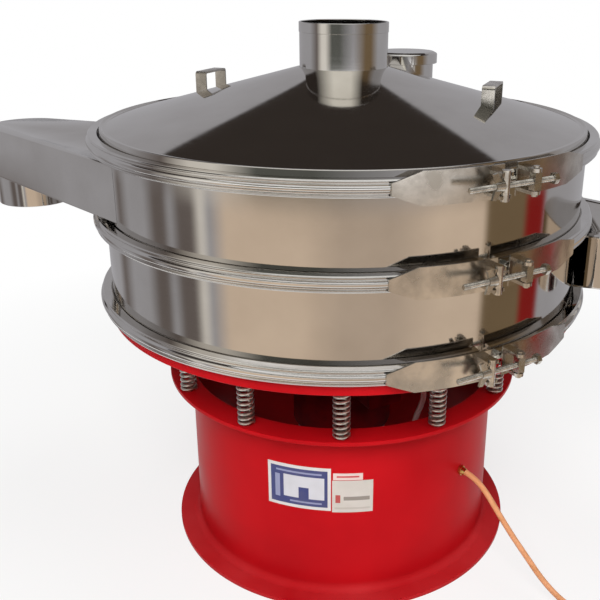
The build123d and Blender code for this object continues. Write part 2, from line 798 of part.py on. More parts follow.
# Cables, with the unused length coiled on the floor and tied, and the plug beside the coil
cable_rest = coil_lift + cable_radius
supply_points = [
    around(
        drum_radius + gland_length + supply_run * out,
        gland_angle + turn,
        cable_rest + (gland_height - cable_rest) * left,
    )
    for out, turn, left in supply_shares
]
gland_back = drum_radius - gland_depth
motor_points = [
    around(
        gland_back + (entry_radius - gland_back) * inwards,
        gland_angle + (box_angle - gland_angle) * turned,
        gland_height + (entry_top - gland_height) * up,
    )
    for inwards, turned, up in motor_shares
]
outer_turn = coil_radius + cable_radius
coil_spot = supply_points[-1] - around(outer_turn, coil_turn)
coil_centre = (coil_spot.X, coil_spot.Y)
lead_low = coil_lift + (2 * coil_layers - 1) * cable_radius
plug_points = [
    Vector(
        coil_spot.X - plug_lead * along,
        coil_spot.Y - outer_turn - plug_shift * across,
        lead_low + (plug_radius - lead_low) * up,
    )
    for along, across, up in plug_shares
]
save("supply_cable", cable("supply_cable", supply_points), cable("plug_lead", plug_points))
save("motor_cable", cable("motor_cable", motor_points))
coil_wall = 2 * cable_radius * coil_layers
coil_low = coil_lift
coil_high = coil_low + coil_wall
save("cable_coil", tube(coil_radius + coil_wall / 2, coil_wall, coil_low, coil_high, coil_centre))
tie_inside = Box(coil_wall + 2 * free_gap, tie_width, coil_high - coil_low + 2 * weld_gap)
tie_outside = Box(
    coil_wall + 2 * (free_gap + tie_thickness),
    tie_width,
    coil_high - coil_low + 2 * (weld_gap + tie_thickness),
)
tie_place = Pos(coil_centre[0] - coil_radius, coil_centre[1], (coil_low + coil_high) / 2)
save("cable_tie", tie_place * (tie_outside - tie_inside))

# Round industrial plug, lying on the floor with its pins away from the coil
plug_axis = Plane(plug_points[-1], x_dir=(0, 1, 0), z_dir=(-1, 0, 0))
plug_profile = Polyline(
    (0, 0),
    (cable_radius + plug_wall, 0),
    (plug_radius - 2 * plug_wall, plug_taper),
    (plug_radius, plug_taper + plug_wall),
    (plug_radius, plug_length + plug_pin_length),
    (plug_radius - plug_wall, plug_length + plug_pin_length),
    (plug_radius - plug_wall, plug_length),
    (0, plug_length),
    close=True,
)
plug = plug_axis * revolve(make_face(Plane.XZ * plug_profile), Axis.Z)
save("plug_body", plug)
pin = rod(plug_pin_radius, plug_length, plug_length + plug_pin_length - plug_wall)
pin_circle = plug_radius / 2
save("plug_pins", *[plug_axis * copy for copy in ring_of(pin, plug_pin_count, pin_circle)])
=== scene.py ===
# %% [markdown]
# # A vibrating sieve, dressed
# The machine shakes powder through a round screen. A red drum stands on the floor, coil springs carry a
# red table with a motor under it, and on the table stand two steel decks and a conical lid, held together
# by clamp bands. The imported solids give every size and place. This lesson turns them into smooth, finely
# meshed surfaces with real finishes, and lights them like a studio photograph.

# %% Load the frame
import math
import bpy
import numpy as np
from mathutils import Matrix, Vector
from mathutils.geometry import tessellate_polygon


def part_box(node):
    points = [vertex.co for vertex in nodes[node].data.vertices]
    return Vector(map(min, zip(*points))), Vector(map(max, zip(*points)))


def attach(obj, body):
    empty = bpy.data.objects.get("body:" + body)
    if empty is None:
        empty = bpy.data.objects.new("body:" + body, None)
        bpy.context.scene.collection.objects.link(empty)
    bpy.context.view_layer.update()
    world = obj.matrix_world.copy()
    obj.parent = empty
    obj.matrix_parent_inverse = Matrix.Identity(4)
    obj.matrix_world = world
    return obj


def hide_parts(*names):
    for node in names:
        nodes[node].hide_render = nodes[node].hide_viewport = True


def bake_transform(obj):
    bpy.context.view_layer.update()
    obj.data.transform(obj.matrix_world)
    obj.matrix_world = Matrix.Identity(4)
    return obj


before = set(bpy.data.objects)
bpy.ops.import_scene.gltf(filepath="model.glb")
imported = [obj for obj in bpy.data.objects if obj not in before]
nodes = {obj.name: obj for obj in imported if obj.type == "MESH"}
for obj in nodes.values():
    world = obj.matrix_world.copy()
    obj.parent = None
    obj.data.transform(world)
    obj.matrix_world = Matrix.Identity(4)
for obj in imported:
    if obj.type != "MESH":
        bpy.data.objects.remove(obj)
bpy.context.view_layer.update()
MM = 0.001
LEVELS = ("top", "middle", "bottom")


# %% [markdown]
# ## Shapes as grids of points
# Sheet-metal machines are mostly turned profiles: a flat outline of (radius, height) points that is
# carried round an axis. Such a surface is a grid, one row for each profile point and one column for each
# angle, so numpy can work out all points at once. Sharp corners never look real, because every edge on a
# real sheet catches a line of light, so the profiles get small arcs first.

# %% Sizes and rounded profiles
ARC_LIMIT = 0.45
EASE_LIMIT = 0.05


def span(node):
    """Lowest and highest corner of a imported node, in millimetres."""
    low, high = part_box(node)
    return np.array(low) / MM, np.array(high) / MM


def rounded(corners, radius, steps=5, ease=0.8):
    """Closed outline with tangent arcs at its corners.

    A corner P has unit directions a and b to its neighbours and half the angle h between them. The arc
    touches both sides at the distance t = radius / tan h, at most 0.45 of the shorter side. Its centre is
    on the bisector at t tan h / sin h. One more point on each side keeps the flats flat when shaded.
    """
    corner = np.asarray(corners, float)
    back = np.roll(corner, 1, axis=0) - corner
    ahead = np.roll(corner, -1, axis=0) - corner
    back_length = np.linalg.norm(back, axis=1, keepdims=True)
    ahead_length = np.linalg.norm(ahead, axis=1, keepdims=True)
    a, b = back / back_length, ahead / ahead_length
    half = np.arccos(np.clip((a * b).sum(axis=1, keepdims=True), -1, 0.9999)) / 2
    shorter = np.minimum(back_length, ahead_length)
    wanted = np.broadcast_to(np.asarray(radius, float), len(corner))[:, None]
    reach = np.minimum(wanted / np.tan(half), ARC_LIMIT * shorter)
    size = reach * np.tan(half)
    bisector = (a + b) / np.maximum(np.linalg.norm(a + b, axis=1, keepdims=True), 1e-9)
    centre = corner + bisector * size / np.sin(half)
    first, last = corner + a * reach - centre, corner + b * reach - centre
    turn = np.maximum(math.pi - 2 * half, 1e-4)[:, None, :]
    share = np.linspace(0, 1, steps + 1)[None, :, None]
    arc = np.sin((1 - share) * turn) * first[:, None] + np.sin(share * turn) * last[:, None]
    arc = centre[:, None] + arc / np.sin(turn)
    side = np.minimum(ease, EASE_LIMIT * shorter)
    before = (corner + a * (reach + side))[:, None]
    after = (corner + b * (reach + side))[:, None]
    return np.concatenate([before, arc, after], axis=1).reshape(-1, 2)


# %% [markdown]
# ### From grids to meshes
# Blender's Spin and Screw tools could turn a profile too. A grid says outright where each point lies, gives
# only faces with four corners, and takes any formula as its profile, so all new pieces are made this way.
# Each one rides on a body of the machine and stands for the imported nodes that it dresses.

# %% Turned grids and meshes
def turned(profile, angles, centre=(0, 0)):
    """Surface of revolution: (r, z) goes to (x + r sin t, y - r cos t, z) for each angle t in degrees."""
    turn = np.radians(angles)[None, :]
    radius, height = profile[:, :1], profile[:, 1:]
    return np.stack([
        centre[0] + radius * np.sin(turn),
        centre[1] - radius * np.cos(turn),
        height + 0 * turn,
    ], axis=-1)


def quads(rows, columns, wrap_rows, wrap_columns):
    """Corners of each cell of a grid, in the order that faces outwards for an anticlockwise outline."""
    row = np.arange(rows if wrap_rows else rows - 1)[:, None]
    column = np.arange(columns if wrap_columns else columns - 1)[None, :]
    next_row, next_column = (row + 1) % rows, (column + 1) % columns
    cells = np.stack([
        row * columns + column,
        row * columns + next_column,
        next_row * columns + next_column,
        next_row * columns + column,
    ], axis=-1)
    return cells.reshape(-1, 4)


def shell(grid, wrap_rows=True, wrap_columns=True, caps=False):
    """Points and faces of one grid. Caps close the ends of an outline that stops short of a full turn."""
    rows, columns = grid.shape[:2]
    faces = quads(rows, columns, wrap_rows, wrap_columns).tolist()
    if caps:
        start = np.arange(rows) * columns
        faces += [start.tolist(), (start + columns - 1)[::-1].tolist()]
    return grid.reshape(-1, 3), faces


def joined(*shells):
    """Several shells as one list of points and faces."""
    points, faces, count = [], [], 0
    for one_points, one_faces in shells:
        points.append(one_points)
        faces += [[index + count for index in face] for face in one_faces]
        count += len(one_points)
    return np.concatenate(points), faces


def make_piece(name, shape, finish, body, replaced=(), sharp=30):
    """Mesh object from points in millimetres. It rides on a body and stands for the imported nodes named."""
    points, faces = shape
    mesh = bpy.data.meshes.new(name)
    mesh.from_pydata((points * MM).tolist(), [], faces)
    mesh.materials.append(finish)
    mesh.shade_smooth()
    mesh.set_sharp_from_angle(angle=math.radians(sharp))
    piece = bpy.data.objects.new(name, mesh)
    bpy.context.scene.collection.objects.link(piece)
    if body:
        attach(piece, body)
    if replaced:
        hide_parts(*replaced)
    print(name, len(points), "points", len(faces), "faces")
    return piece


FULL_TURN = np.linspace(0, 360, 360, endpoint=False)
print("a full turn has", len(FULL_TURN), "steps")


# %% [markdown]
# ## Finishes
# A finish starts from the real material. Colours are written as sRGB hex codes, the way a paint card
# gives them, and one function turns them into the linear values that the renderer works with. Patterns are
# sized in millimetres: a noise texture of scale s repeats about every 1000 / s millimetres here, because
# the model is in metres.

# %% Helpers for finishes
NOISE_REACH = (0.3, 0.7)


def linear(code):
    """sRGB hex to linear colour: c / 12.92 below 0.04045, else ((c + 0.055) / 1.055) ^ 2.4."""
    part = np.array([int(code[index:index + 2], 16) for index in (1, 3, 5)]) / 255
    value = np.where(part <= 0.04045, part / 12.92, ((part + 0.055) / 1.055) ** 2.4)
    return (*value.tolist(), 1.0)


def add(tree, kind, sockets, stops=(), **settings):
    """Shader node of a kind with its settings. A colour ramp also gets stops of (position, hex code).

    Sockets are named, or listed in their own order. Each gets a value or a link from another socket.
    """
    node = tree.nodes.new("ShaderNode" + kind)
    for name, value in settings.items():
        setattr(node, name, value)
    for name, value in sockets.items() if isinstance(sockets, dict) else enumerate(sockets):
        if isinstance(value, bpy.types.NodeSocket):
            tree.links.new(value, node.inputs[name])
        else:
            node.inputs[name].default_value = value
    elements = node.color_ramp.elements if stops else ()
    while len(elements) < len(stops):
        elements.new(1.0)
    for element, (position, code) in zip(elements, stops):
        element.position = position
        element.color = linear(code)
    return node


def new_finish(name):
    """Empty material with its shader, and the object's own coordinates for patterns."""
    material = bpy.data.materials.new(name)
    material.use_nodes = True
    tree = material.node_tree
    shader = tree.nodes["Principled BSDF"]
    place = add(tree, "TexCoord", {}).outputs["Object"]
    print("finish", name)
    return material, tree, shader, place


def blotches(tree, place, size_mm, stretch=(1, 1, 1), detail=3.0):
    """Cloudy noise with features of a real size, squeezed along an axis by a stretch above 1."""
    mapped = add(tree, "Mapping", {"Vector": place, "Scale": stretch}).outputs["Vector"]
    noise = add(tree, "TexNoise", {"Vector": mapped, "Scale": 1 / (size_mm * MM), "Detail": detail})
    return noise.outputs["Fac"]


def spread(tree, noise, low, high):
    """Noise, which mostly keeps between 0.3 and 0.7, spread evenly over the range from low to high."""
    return add(tree, "MapRange", [noise, *NOISE_REACH, low, high]).outputs["Result"]


# %% [markdown]
# ### Polished stainless steel
# The decks, the lid and the spout are 304 stainless sheet, cold rolled and then polished. The eye sees
# almost a mirror, with a warm grey colour, faint streaks along the direction of rolling, and slow dents
# that bend the reflections. A metal shader with low roughness gives the mirror, a squeezed noise the
# streaks, and a bump of a few tenths of a millimetre over a hand's width the dents.

# %% Polished stainless steel
STREAK_LENGTH_MM = 60
STREAK_HEIGHT_MM = 2
STREAK_DEPTH_MM = 0.01
DULL_PATCH_MM = 90
DENT_WIDTH_MM = 160


def polished_steel(name, code, smooth, rough, dent_height_mm):
    """Mirror-like sheet: roughness follows the mean of streaks and dull patches, and dents add a bump."""
    material, tree, shader, place = new_finish(name)
    streak = blotches(tree, place, STREAK_LENGTH_MM, stretch=(1, 1, STREAK_LENGTH_MM / STREAK_HEIGHT_MM))
    dull = blotches(tree, place, DULL_PATCH_MM)
    total = add(tree, "Math", [streak, dull], operation="ADD").outputs["Value"]
    mean = add(tree, "Math", [total, 0.5], operation="MULTIPLY").outputs["Value"]
    dent = blotches(tree, place, DENT_WIDTH_MM, detail=1.0)
    dented = add(tree, "Bump", {"Height": dent, "Strength": 1.0, "Distance": dent_height_mm * MM})
    streaked = add(tree, "Bump", {
        "Height": streak, "Strength": 0.5, "Distance": STREAK_DEPTH_MM * MM,
        "Normal": dented.outputs["Normal"],
    })
    tint = add(tree, "MixRGB", [spread(tree, dull, 0.0, 0.3), linear(code), linear("#b4afa9")])
    tree.links.new(tint.outputs["Color"], shader.inputs["Base Color"])
    tree.links.new(spread(tree, mean, smooth, rough), shader.inputs["Roughness"])
    tree.links.new(streaked.outputs["Normal"], shader.inputs["Normal"])
    shader.inputs["Metallic"].default_value = 1.0
    return material


sheet_steel = polished_steel("polished_stainless_sheet", "#d0cdc9", 0.05, 0.11, 0.25)
lid_steel = polished_steel("polished_stainless_lid", "#d0cdc9", 0.04, 0.08, 0.12)
band_steel = polished_steel("rolled_stainless_band", "#d6d4d1", 0.05, 0.12, 0.05)


# %% [markdown]
# ### Plate, plating and wire
# The closures are cut from thicker plate and left as they come from the mill, the bolts and nuts are zinc
# plated, and the springs are drawn wire. All are duller than the decks, with cloudy patches. Two close
# colours and a varying roughness show the patches, and a fine grit breaks the gloss.

# %% Plate, plating and wire
GRIT_MM = 1.5
TWO_TONES = (0.35, 0.65)


def dull_metal(name, code, dark_code, patch_mm, smooth, rough, grit_height_mm):
    """Metal with cloudy patches of two colours, rougher where it is darker, and a fine grit."""
    material, tree, shader, place = new_finish(name)
    patch = blotches(tree, place, patch_mm)
    grit = blotches(tree, place, GRIT_MM)
    tone = add(tree, "ValToRGB", [patch], stops=list(zip(TWO_TONES, (dark_code, code))))
    bump = add(tree, "Bump", {"Height": grit, "Strength": 0.6, "Distance": grit_height_mm * MM})
    tree.links.new(tone.outputs["Color"], shader.inputs["Base Color"])
    tree.links.new(spread(tree, patch, rough, smooth), shader.inputs["Roughness"])
    tree.links.new(bump.outputs["Normal"], shader.inputs["Normal"])
    shader.inputs["Metallic"].default_value = 1.0
    return material


plate_steel = dull_metal("mill_finish_plate", "#cfcac2", "#aca79f", 35, 0.18, 0.3, 0.04)
bolt_steel = dull_metal("zinc_plated_steel", "#d0cbc2", "#aaa59c", 12, 0.2, 0.36, 0.03)
spring_steel = dull_metal("drawn_spring_wire", "#d2d0ca", "#aaa7a0", 8, 0.24, 0.42, 0.03)
machined_steel = dull_metal("machined_cast_iron", "#8c8a87", "#6a6866", 25, 0.35, 0.5, 0.06)
brass = dull_metal("turned_brass", "#d9b978", "#b8924e", 6, 0.22, 0.35, 0.02)


# %% [markdown]
# ### Red enamel
# The drum and the table are painted with glossy machine enamel. It shows as a deep red with a soft gloss,
# a faint orange-peel bump from the spray gun, and a paler, dusty bloom on the foot where brooms and shoes
# reach. The bloom follows the height above the floor, which the object coordinates give.

# %% Red enamel
ORANGE_PEEL_MM = 4
PEEL_DEPTH_MM = 0.06
CLOUD_MM = 180


def enamel(name, code, deep_code, dusty_code, dust_height_mm):
    """Sprayed enamel: orange peel, a cloudy tone, and dust that fades out up to a height."""
    material, tree, shader, place = new_finish(name)
    peel = blotches(tree, place, ORANGE_PEEL_MM, detail=1.0)
    cloud = blotches(tree, place, CLOUD_MM)
    height = add(tree, "SeparateXYZ", [place]).outputs["Z"]
    low = add(tree, "MapRange", [height, 0.0, dust_height_mm * MM, 1.0, 0.0]).outputs["Result"]
    dust = add(tree, "Math", [low, spread(tree, cloud, 0.1, 0.55)], operation="MULTIPLY").outputs["Value"]
    tone = add(tree, "ValToRGB", [cloud], stops=list(zip(NOISE_REACH, (deep_code, code))))
    dusty = add(tree, "MixRGB", [dust, tone.outputs["Color"], linear(dusty_code)])
    bump = add(tree, "Bump", {"Height": peel, "Strength": 0.25, "Distance": PEEL_DEPTH_MM * MM})
    tree.links.new(dusty.outputs["Color"], shader.inputs["Base Color"])
    tree.links.new(spread(tree, cloud, 0.28, 0.4), shader.inputs["Roughness"])
    tree.links.new(bump.outputs["Normal"], shader.inputs["Normal"])
    shader.inputs["Specular IOR Level"].default_value = 0.04
    return material


red_enamel = enamel("red_machine_enamel", "#c0131b", "#b00f17", "#b8484a", 30)


# %% [markdown]
# ### Rubber, plastic and motor paint
# The small soft pieces are matte: silicone gaskets, a black nylon plug and the PVC sheaths of the cables,
# and the motor's paint is nearly so. Its dark red is partly the motor's own red enamel and partly painted
# shade for its place inside the drum. A gentle noise in colour and roughness keeps them from looking flat.

# %% Rubber, plastic and motor paint
GRAIN_DEPTH_MM = 0.05


def moulded(name, code, other_code, patch_mm, smooth, rough, grain_mm, gloss=0.5):
    """Moulded or extruded polymer: two close tones and a fine grain."""
    material, tree, shader, place = new_finish(name)
    patch = blotches(tree, place, patch_mm)
    grain = blotches(tree, place, grain_mm, detail=1.0)
    tone = add(tree, "ValToRGB", [patch], stops=list(zip(TWO_TONES, (other_code, code))))
    bump = add(tree, "Bump", {"Height": grain, "Strength": 0.3, "Distance": GRAIN_DEPTH_MM * MM})
    tree.links.new(tone.outputs["Color"], shader.inputs["Base Color"])
    tree.links.new(spread(tree, patch, smooth, rough), shader.inputs["Roughness"])
    tree.links.new(bump.outputs["Normal"], shader.inputs["Normal"])
    shader.inputs["Specular IOR Level"].default_value = gloss
    return material


gasket_silicone = moulded("white_silicone", "#dcd8cc", "#c9c4b6", 20, 0.5, 0.6, 1)
cable_pvc = moulded("orange_pvc_sheath", "#e2a276", "#d29262", 25, 0.38, 0.5, 2, 0.3)
motor_pvc = moulded("pink_pvc_sheath", "#c98a86", "#b87c78", 25, 0.4, 0.5, 2, 0.3)
plug_nylon = moulded("black_nylon", "#24262a", "#1a1b1e", 15, 0.4, 0.55, 1)
# Motor paint: red enamel made darker than the drum's as painted shade for the motor's place inside the drum.
motor_red_and_shade = moulded("motor_red_in_painted_shade", "#7a0d14", "#5c090e", 40, 0.4, 0.55, 3, 0.12)


# %% [markdown]
# ### Woven screen wire
# The screen is stretched wire cloth. Real sieve cloth has a mesh far too fine for the picture, so it is
# drawn with a 6 mm pitch: two sine waves at right angles make the bump of the weave, and the same weave
# paints shade into the gaps between the wires, which come out dark. Blender's wave runs through 20 radians
# in a metre at the scale 1, which gives the scale for a pitch.

# %% Woven screen wire
MESH_PITCH_MM = 6
WAVE_RADIANS = 20
screen_wire, wire_tree, wire_shader, wire_place = new_finish("woven_screen_wire")
wave_scale = 2 * math.pi / (WAVE_RADIANS * MESH_PITCH_MM * MM)
wave = {"Vector": wire_place, "Scale": wave_scale}
across = add(wire_tree, "TexWave", wave, bands_direction="X").outputs["Fac"]
along = add(wire_tree, "TexWave", wave, bands_direction="Y").outputs["Fac"]
weave = add(wire_tree, "Math", [across, along], operation="MAXIMUM").outputs["Value"]
weave_bump = add(wire_tree, "Bump", {"Height": weave, "Strength": 0.8, "Distance": 0.6 * MM})
# Painted shade: the low parts of the weave, the gaps between the wires, get the dark tone.
weave_and_gap_shade = add(wire_tree, "ValToRGB", [weave], stops=[(0.2, "#4a4845"), (0.8, "#c8c4bc")])
wire_tree.links.new(weave_and_gap_shade.outputs["Color"], wire_shader.inputs["Base Color"])
wire_tree.links.new(weave_bump.outputs["Normal"], wire_shader.inputs["Normal"])
wire_shader.inputs["Metallic"].default_value = 1.0
wire_shader.inputs["Roughness"].default_value = 0.4


# %% [markdown]
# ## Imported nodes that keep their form
# The fittings and everything inside are small or hidden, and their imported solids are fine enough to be
# seen. They only get a finish each, in the material slots that they already have.

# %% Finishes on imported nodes
KEPT_FINISHES = {
    plate_steel: [f"{level}_clamp_plates" for level in LEVELS],
    bolt_steel: ["motor_bolts", "lower_spring_studs", "upper_spring_studs"] + [
        f"{level}_{part}" for level in LEVELS
        for part in ("hook_barrel", "pivot_barrel", "lock_nut", "wing_nut")
    ],
    sheet_steel: ["fines_dome", "screen_ring", "screen_support"],
    screen_wire: ["screen_mesh"],
    gasket_silicone: [f"{level}_gasket" for level in LEVELS],
    motor_red_and_shade: ["motor_housing", "motor_end_shields", "terminal_box"],
    machined_steel: ["rotor_shaft", "bearings", "stator", "rotor_core", "upper_weight", "lower_weight"],
    plug_nylon: ["plug_body", "cable_tie"],
    brass: ["plug_pins", "cable_gland"],
    motor_pvc: ["motor_cable"],
}
for finish, names in KEPT_FINISHES.items():
    for name in names:
        for material_slot in nodes[name].material_slots:
            material_slot.material = finish
print("finishes on", sum(len(names) for names in KEPT_FINISHES.values()), "packed nodes")


# %% [markdown]
# ## Camera
# The photograph was taken from about 1.7 m in front of the machine's axis and a little above the lid,
# looking down by 20 degrees. Its frame is a cut-out of a larger picture, so the lens is shifted: the
# optical axis meets the picture right of and above its middle.

# %% Camera
CAMERA_PLACE = (0.0, -1.7278, 1.2293)
CAMERA_PITCH = 20.15
CAMERA_ROLL = 0.33
FOCAL_PIXELS = 813.5
FRAME_PIXELS = 600
OPTICAL_AXIS = (342.4, 272.4)
SENSOR_MM = 36.0
camera_data = bpy.data.cameras.new("camera")
camera_data.sensor_width = SENSOR_MM
camera_data.lens = SENSOR_MM * FOCAL_PIXELS / FRAME_PIXELS
camera_data.shift_x = (FRAME_PIXELS / 2 - OPTICAL_AXIS[0]) / FRAME_PIXELS
camera_data.shift_y = (OPTICAL_AXIS[1] - FRAME_PIXELS / 2) / FRAME_PIXELS
camera = bpy.data.objects.new("camera", camera_data)
tilt = Matrix.Rotation(math.radians(90 - CAMERA_PITCH), 4, "X")
camera.matrix_world = (
    Matrix.Translation(CAMERA_PLACE) @ tilt @ Matrix.Rotation(math.radians(CAMERA_ROLL), 4, "Z")
)
bpy.context.scene.collection.objects.link(camera)
bpy.context.scene.camera = camera
print("lens", round(camera_data.lens, 2), "mm")


# %% [markdown]
# ## Supply cable
# An orange cable of 12 mm leaves the drum through a gland, bends down under its own weight and reaches the
# floor just outside the picture. The rest of its length is coiled and tied there, with the plug beside it.
# The route is written as (distance from the machine's axis, angle from the front, height). The coil could be
# one flat spiral, but a hank laid by hand has turns beside and on top of each other, so it gets two layers.

# %% Route and coil of the supply cable
SUPPLY_ROUTE = np.array([
    (360.0, 47.5, 232.0), (386.0, 47.5, 227.0), (414.0, 47.5, 207.0), (446.0, 47.5, 172.0),
    (484.0, 47.5, 133.0), (520.0, 47.5, 101.5), (553.0, 47.6, 70.0), (585.0, 48.4, 40.0),
    (614.0, 49.4, 18.5), (645.0, 50.1, 8.6), (675.0, 50.4, 8.0),
])
coil_low, coil_high = span("cable_coil")
plug_low, plug_high = span("plug_body")
coil_centre = (coil_low[:2] + coil_high[:2]) / 2
plug_back = np.array([plug_high[0], *(plug_low[1:] + plug_high[1:]) / 2])
COIL_RADII = (72.0, 60.0)
COIL_LIFTS = (8.0, 20.0)
POINTS_IN_TURN = 16
STEP_START = 0.66
LEAD_BEARING = -75.0
LEAD_SHARES = np.array([(0, 0, 0), (0.488, 0.528, 0.286), (1, 1, 1)])


def coil_turns(start_angle):
    """Clockwise turns, two in each layer: the outer one below, then inwards, up and outwards again.

    The angle falls steadily. Radius and height step from one turn to the next over the last third of a
    turn, by the smooth step s s (3 - 2 s).
    """
    stages = [
        (COIL_RADII[0], COIL_LIFTS[0]), (COIL_RADII[1], COIL_LIFTS[0]),
        (COIL_RADII[1], COIL_LIFTS[1]), (COIL_RADII[0], COIL_LIFTS[1]),
    ]
    ends = stages[1:] + [stages[-1]]
    share = np.arange(POINTS_IN_TURN) / POINTS_IN_TURN
    late = np.clip((share - STEP_START) / (1 - STEP_START), 0, 1)
    step = late * late * (3 - 2 * late)
    rows = [
        np.stack([start[0] + (end[0] - start[0]) * step, start[1] + (end[1] - start[1]) * step], axis=-1)
        for start, end in zip(stages, ends)
    ]
    radius, lift = np.concatenate(rows).T
    turn = math.radians(start_angle) - 2 * math.pi * np.arange(len(radius)) / POINTS_IN_TURN
    return np.stack([
        coil_centre[0] + radius * np.cos(turn), coil_centre[1] + radius * np.sin(turn), lift,
    ], axis=-1)


route_radius, route_angle, route_height = SUPPLY_ROUTE.T
route_turn = np.radians(route_angle)
route = np.stack([
    route_radius * np.sin(route_turn), -route_radius * np.cos(route_turn), route_height,
], axis=-1)
landing = route[-1, :2] - coil_centre
turns = coil_turns(math.degrees(math.atan2(landing[1], landing[0])))
last_turn = turns[-POINTS_IN_TURN:, :2] - coil_centre
last_bearing = np.degrees(np.arctan2(last_turn[:, 1], last_turn[:, 0]))
keep = len(turns) - POINTS_IN_TURN + int(np.argmin(np.abs(last_bearing - LEAD_BEARING)))
lead_start = np.array([coil_centre[0], coil_centre[1] - COIL_RADII[0], COIL_LIFTS[1]])
lead = lead_start + (plug_back - lead_start) * LEAD_SHARES
cable_points = np.concatenate([route, turns[1:keep], lead]) * MM
print("cable route", len(route), "points, coil and lead", len(cable_points) - len(route), "points")


# %% [markdown]
# ### One spline for the whole cable
# The points of the route, the turns of the coil and the lead to the plug are the control points of one
# spline. A polyline would kink and a Bezier curve would need handles. A NURBS spline of order 3 rounds the
# route by itself, the way a stiff cable does.

# %% Spline and cord
CABLE_RADIUS_MM = 6.0


cable_curve = bpy.data.curves.new("supply_cable_sheath", "CURVE")
cable_curve.dimensions = "3D"
cable_spline = cable_curve.splines.new("NURBS")
cable_spline.points.add(len(cable_points) - 1)
cable_spline.points.foreach_set("co", np.c_[cable_points, np.ones(len(cable_points))].ravel())
cable_spline.order_u = 3
cable_spline.use_endpoint_u = True
cable_spline.resolution_u = 6
cable_curve.bevel_depth = CABLE_RADIUS_MM * MM
cable_curve.bevel_resolution = 6
cable_curve.use_fill_caps = True
cable_curve.materials.append(cable_pvc)
supply_cable = bpy.data.objects.new("supply_cable_sheath", cable_curve)
bpy.context.scene.collection.objects.link(supply_cable)
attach(supply_cable, "base")
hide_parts("supply_cable", "cable_coil")


# %% [markdown]
# ## Base drum
# The drum is rolled plate with a foot ring and a spring ring welded on. It could be a cylinder and two discs
# with a bevel. The welds are ground to a cove, though, so one turned profile is better: it gets generous arcs
# where wall and rings meet and small ones at the rings' edges.

# %% Base drum
RING_RADIUS, _, drum_top = span("base_drum")[1]
DRUM_RADIUS = 346.0
DRUM_INNER = 341.0
RING_PLATE = 9.0
COVE = 14.0
EDGE = 1.5
drum_corners = [
    (DRUM_INNER, 0), (RING_RADIUS, 0), (RING_RADIUS, RING_PLATE), (DRUM_RADIUS, RING_PLATE),
    (DRUM_RADIUS, drum_top - RING_PLATE), (RING_RADIUS, drum_top - RING_PLATE),
    (RING_RADIUS, drum_top), (DRUM_INNER, drum_top),
]
drum_profile = rounded(drum_corners, [EDGE, EDGE, EDGE, COVE, COVE, EDGE, EDGE, EDGE])
make_piece(
    "drum_shell", shell(turned(drum_profile, FULL_TURN)), red_enamel, "base", ["base_drum"],
)


# %% [markdown]
# ## Coil springs
# Twelve compression springs stand between the drum and the table. Each is round wire in a helix, with its
# end turns closed and nearly touching. The Screw modifier makes even turns only, so the helix is a path with
# its own heights, and the wire's circle is carried along it. The springs stretch and squeeze as the table
# shakes, so they ride on neither body.

# %% Coil springs
spring_low, spring_high = span("springs")
SPRING_COUNT = 12
SPRING_CIRCLE = 375.0
SPRING_RADIUS = 17.5
WIRE_RADIUS = 3.0
ACTIVE_TURNS = 9
STEPS_IN_TURN = 36
WIRE_SIDES = 10


def unit(vectors):
    """Vectors divided by their lengths."""
    return vectors / np.linalg.norm(vectors, axis=1, keepdims=True)


def spring_wire():
    """Wire of one spring about its own axis.

    The centre line is (R cos t, R sin t, z(t)). The height z rises by one wire for each of the two end
    turns, and evenly over the active turns between. The section is a circle in the plane of the radial
    direction and the direction square to it and to the path.
    """
    total = ACTIVE_TURNS + 2
    share = np.linspace(0, total, total * STEPS_IN_TURN + 1)
    bottom, top = spring_low[2] + WIRE_RADIUS, spring_high[2] - WIRE_RADIUS
    wire = 2 * WIRE_RADIUS
    height = np.interp(share, [0, 1, total - 1, total], [bottom, bottom + wire, top - wire, top])
    turn = 2 * math.pi * share
    middle = SPRING_RADIUS - WIRE_RADIUS
    outward = np.stack([np.cos(turn), np.sin(turn), 0 * turn], axis=-1)
    path = middle * outward + np.stack([0 * turn, 0 * turn, height], axis=-1)
    upward = np.cross(outward, unit(np.gradient(path, axis=0)))
    section = np.linspace(0, 2 * math.pi, WIRE_SIDES, endpoint=False)[:, None, None]
    return path[None] + WIRE_RADIUS * (np.cos(section) * outward[None] + np.sin(section) * upward[None])


one_spring = spring_wire()
spring_shells = []
for index in range(SPRING_COUNT):
    place = turned(np.array([(SPRING_CIRCLE, 0.0)]), [360 * index / SPRING_COUNT])
    spring_shells.append(shell(one_spring + place, wrap_columns=False, caps=True))
coil_springs = make_piece(
    "coil_springs", joined(*spring_shells), spring_steel, None, sharp=60,
)
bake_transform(coil_springs)
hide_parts("springs")


# %% [markdown]
# ## Vibrating table
# The table is a shallow red dish: a flat plate on the springs, a cone outwards, a lip that stands round the
# joint, and the flange under the lowest deck. It is pressed and welded from plate, which one turned profile
# shows with a wide arc at each press and a narrow one at each cut edge.

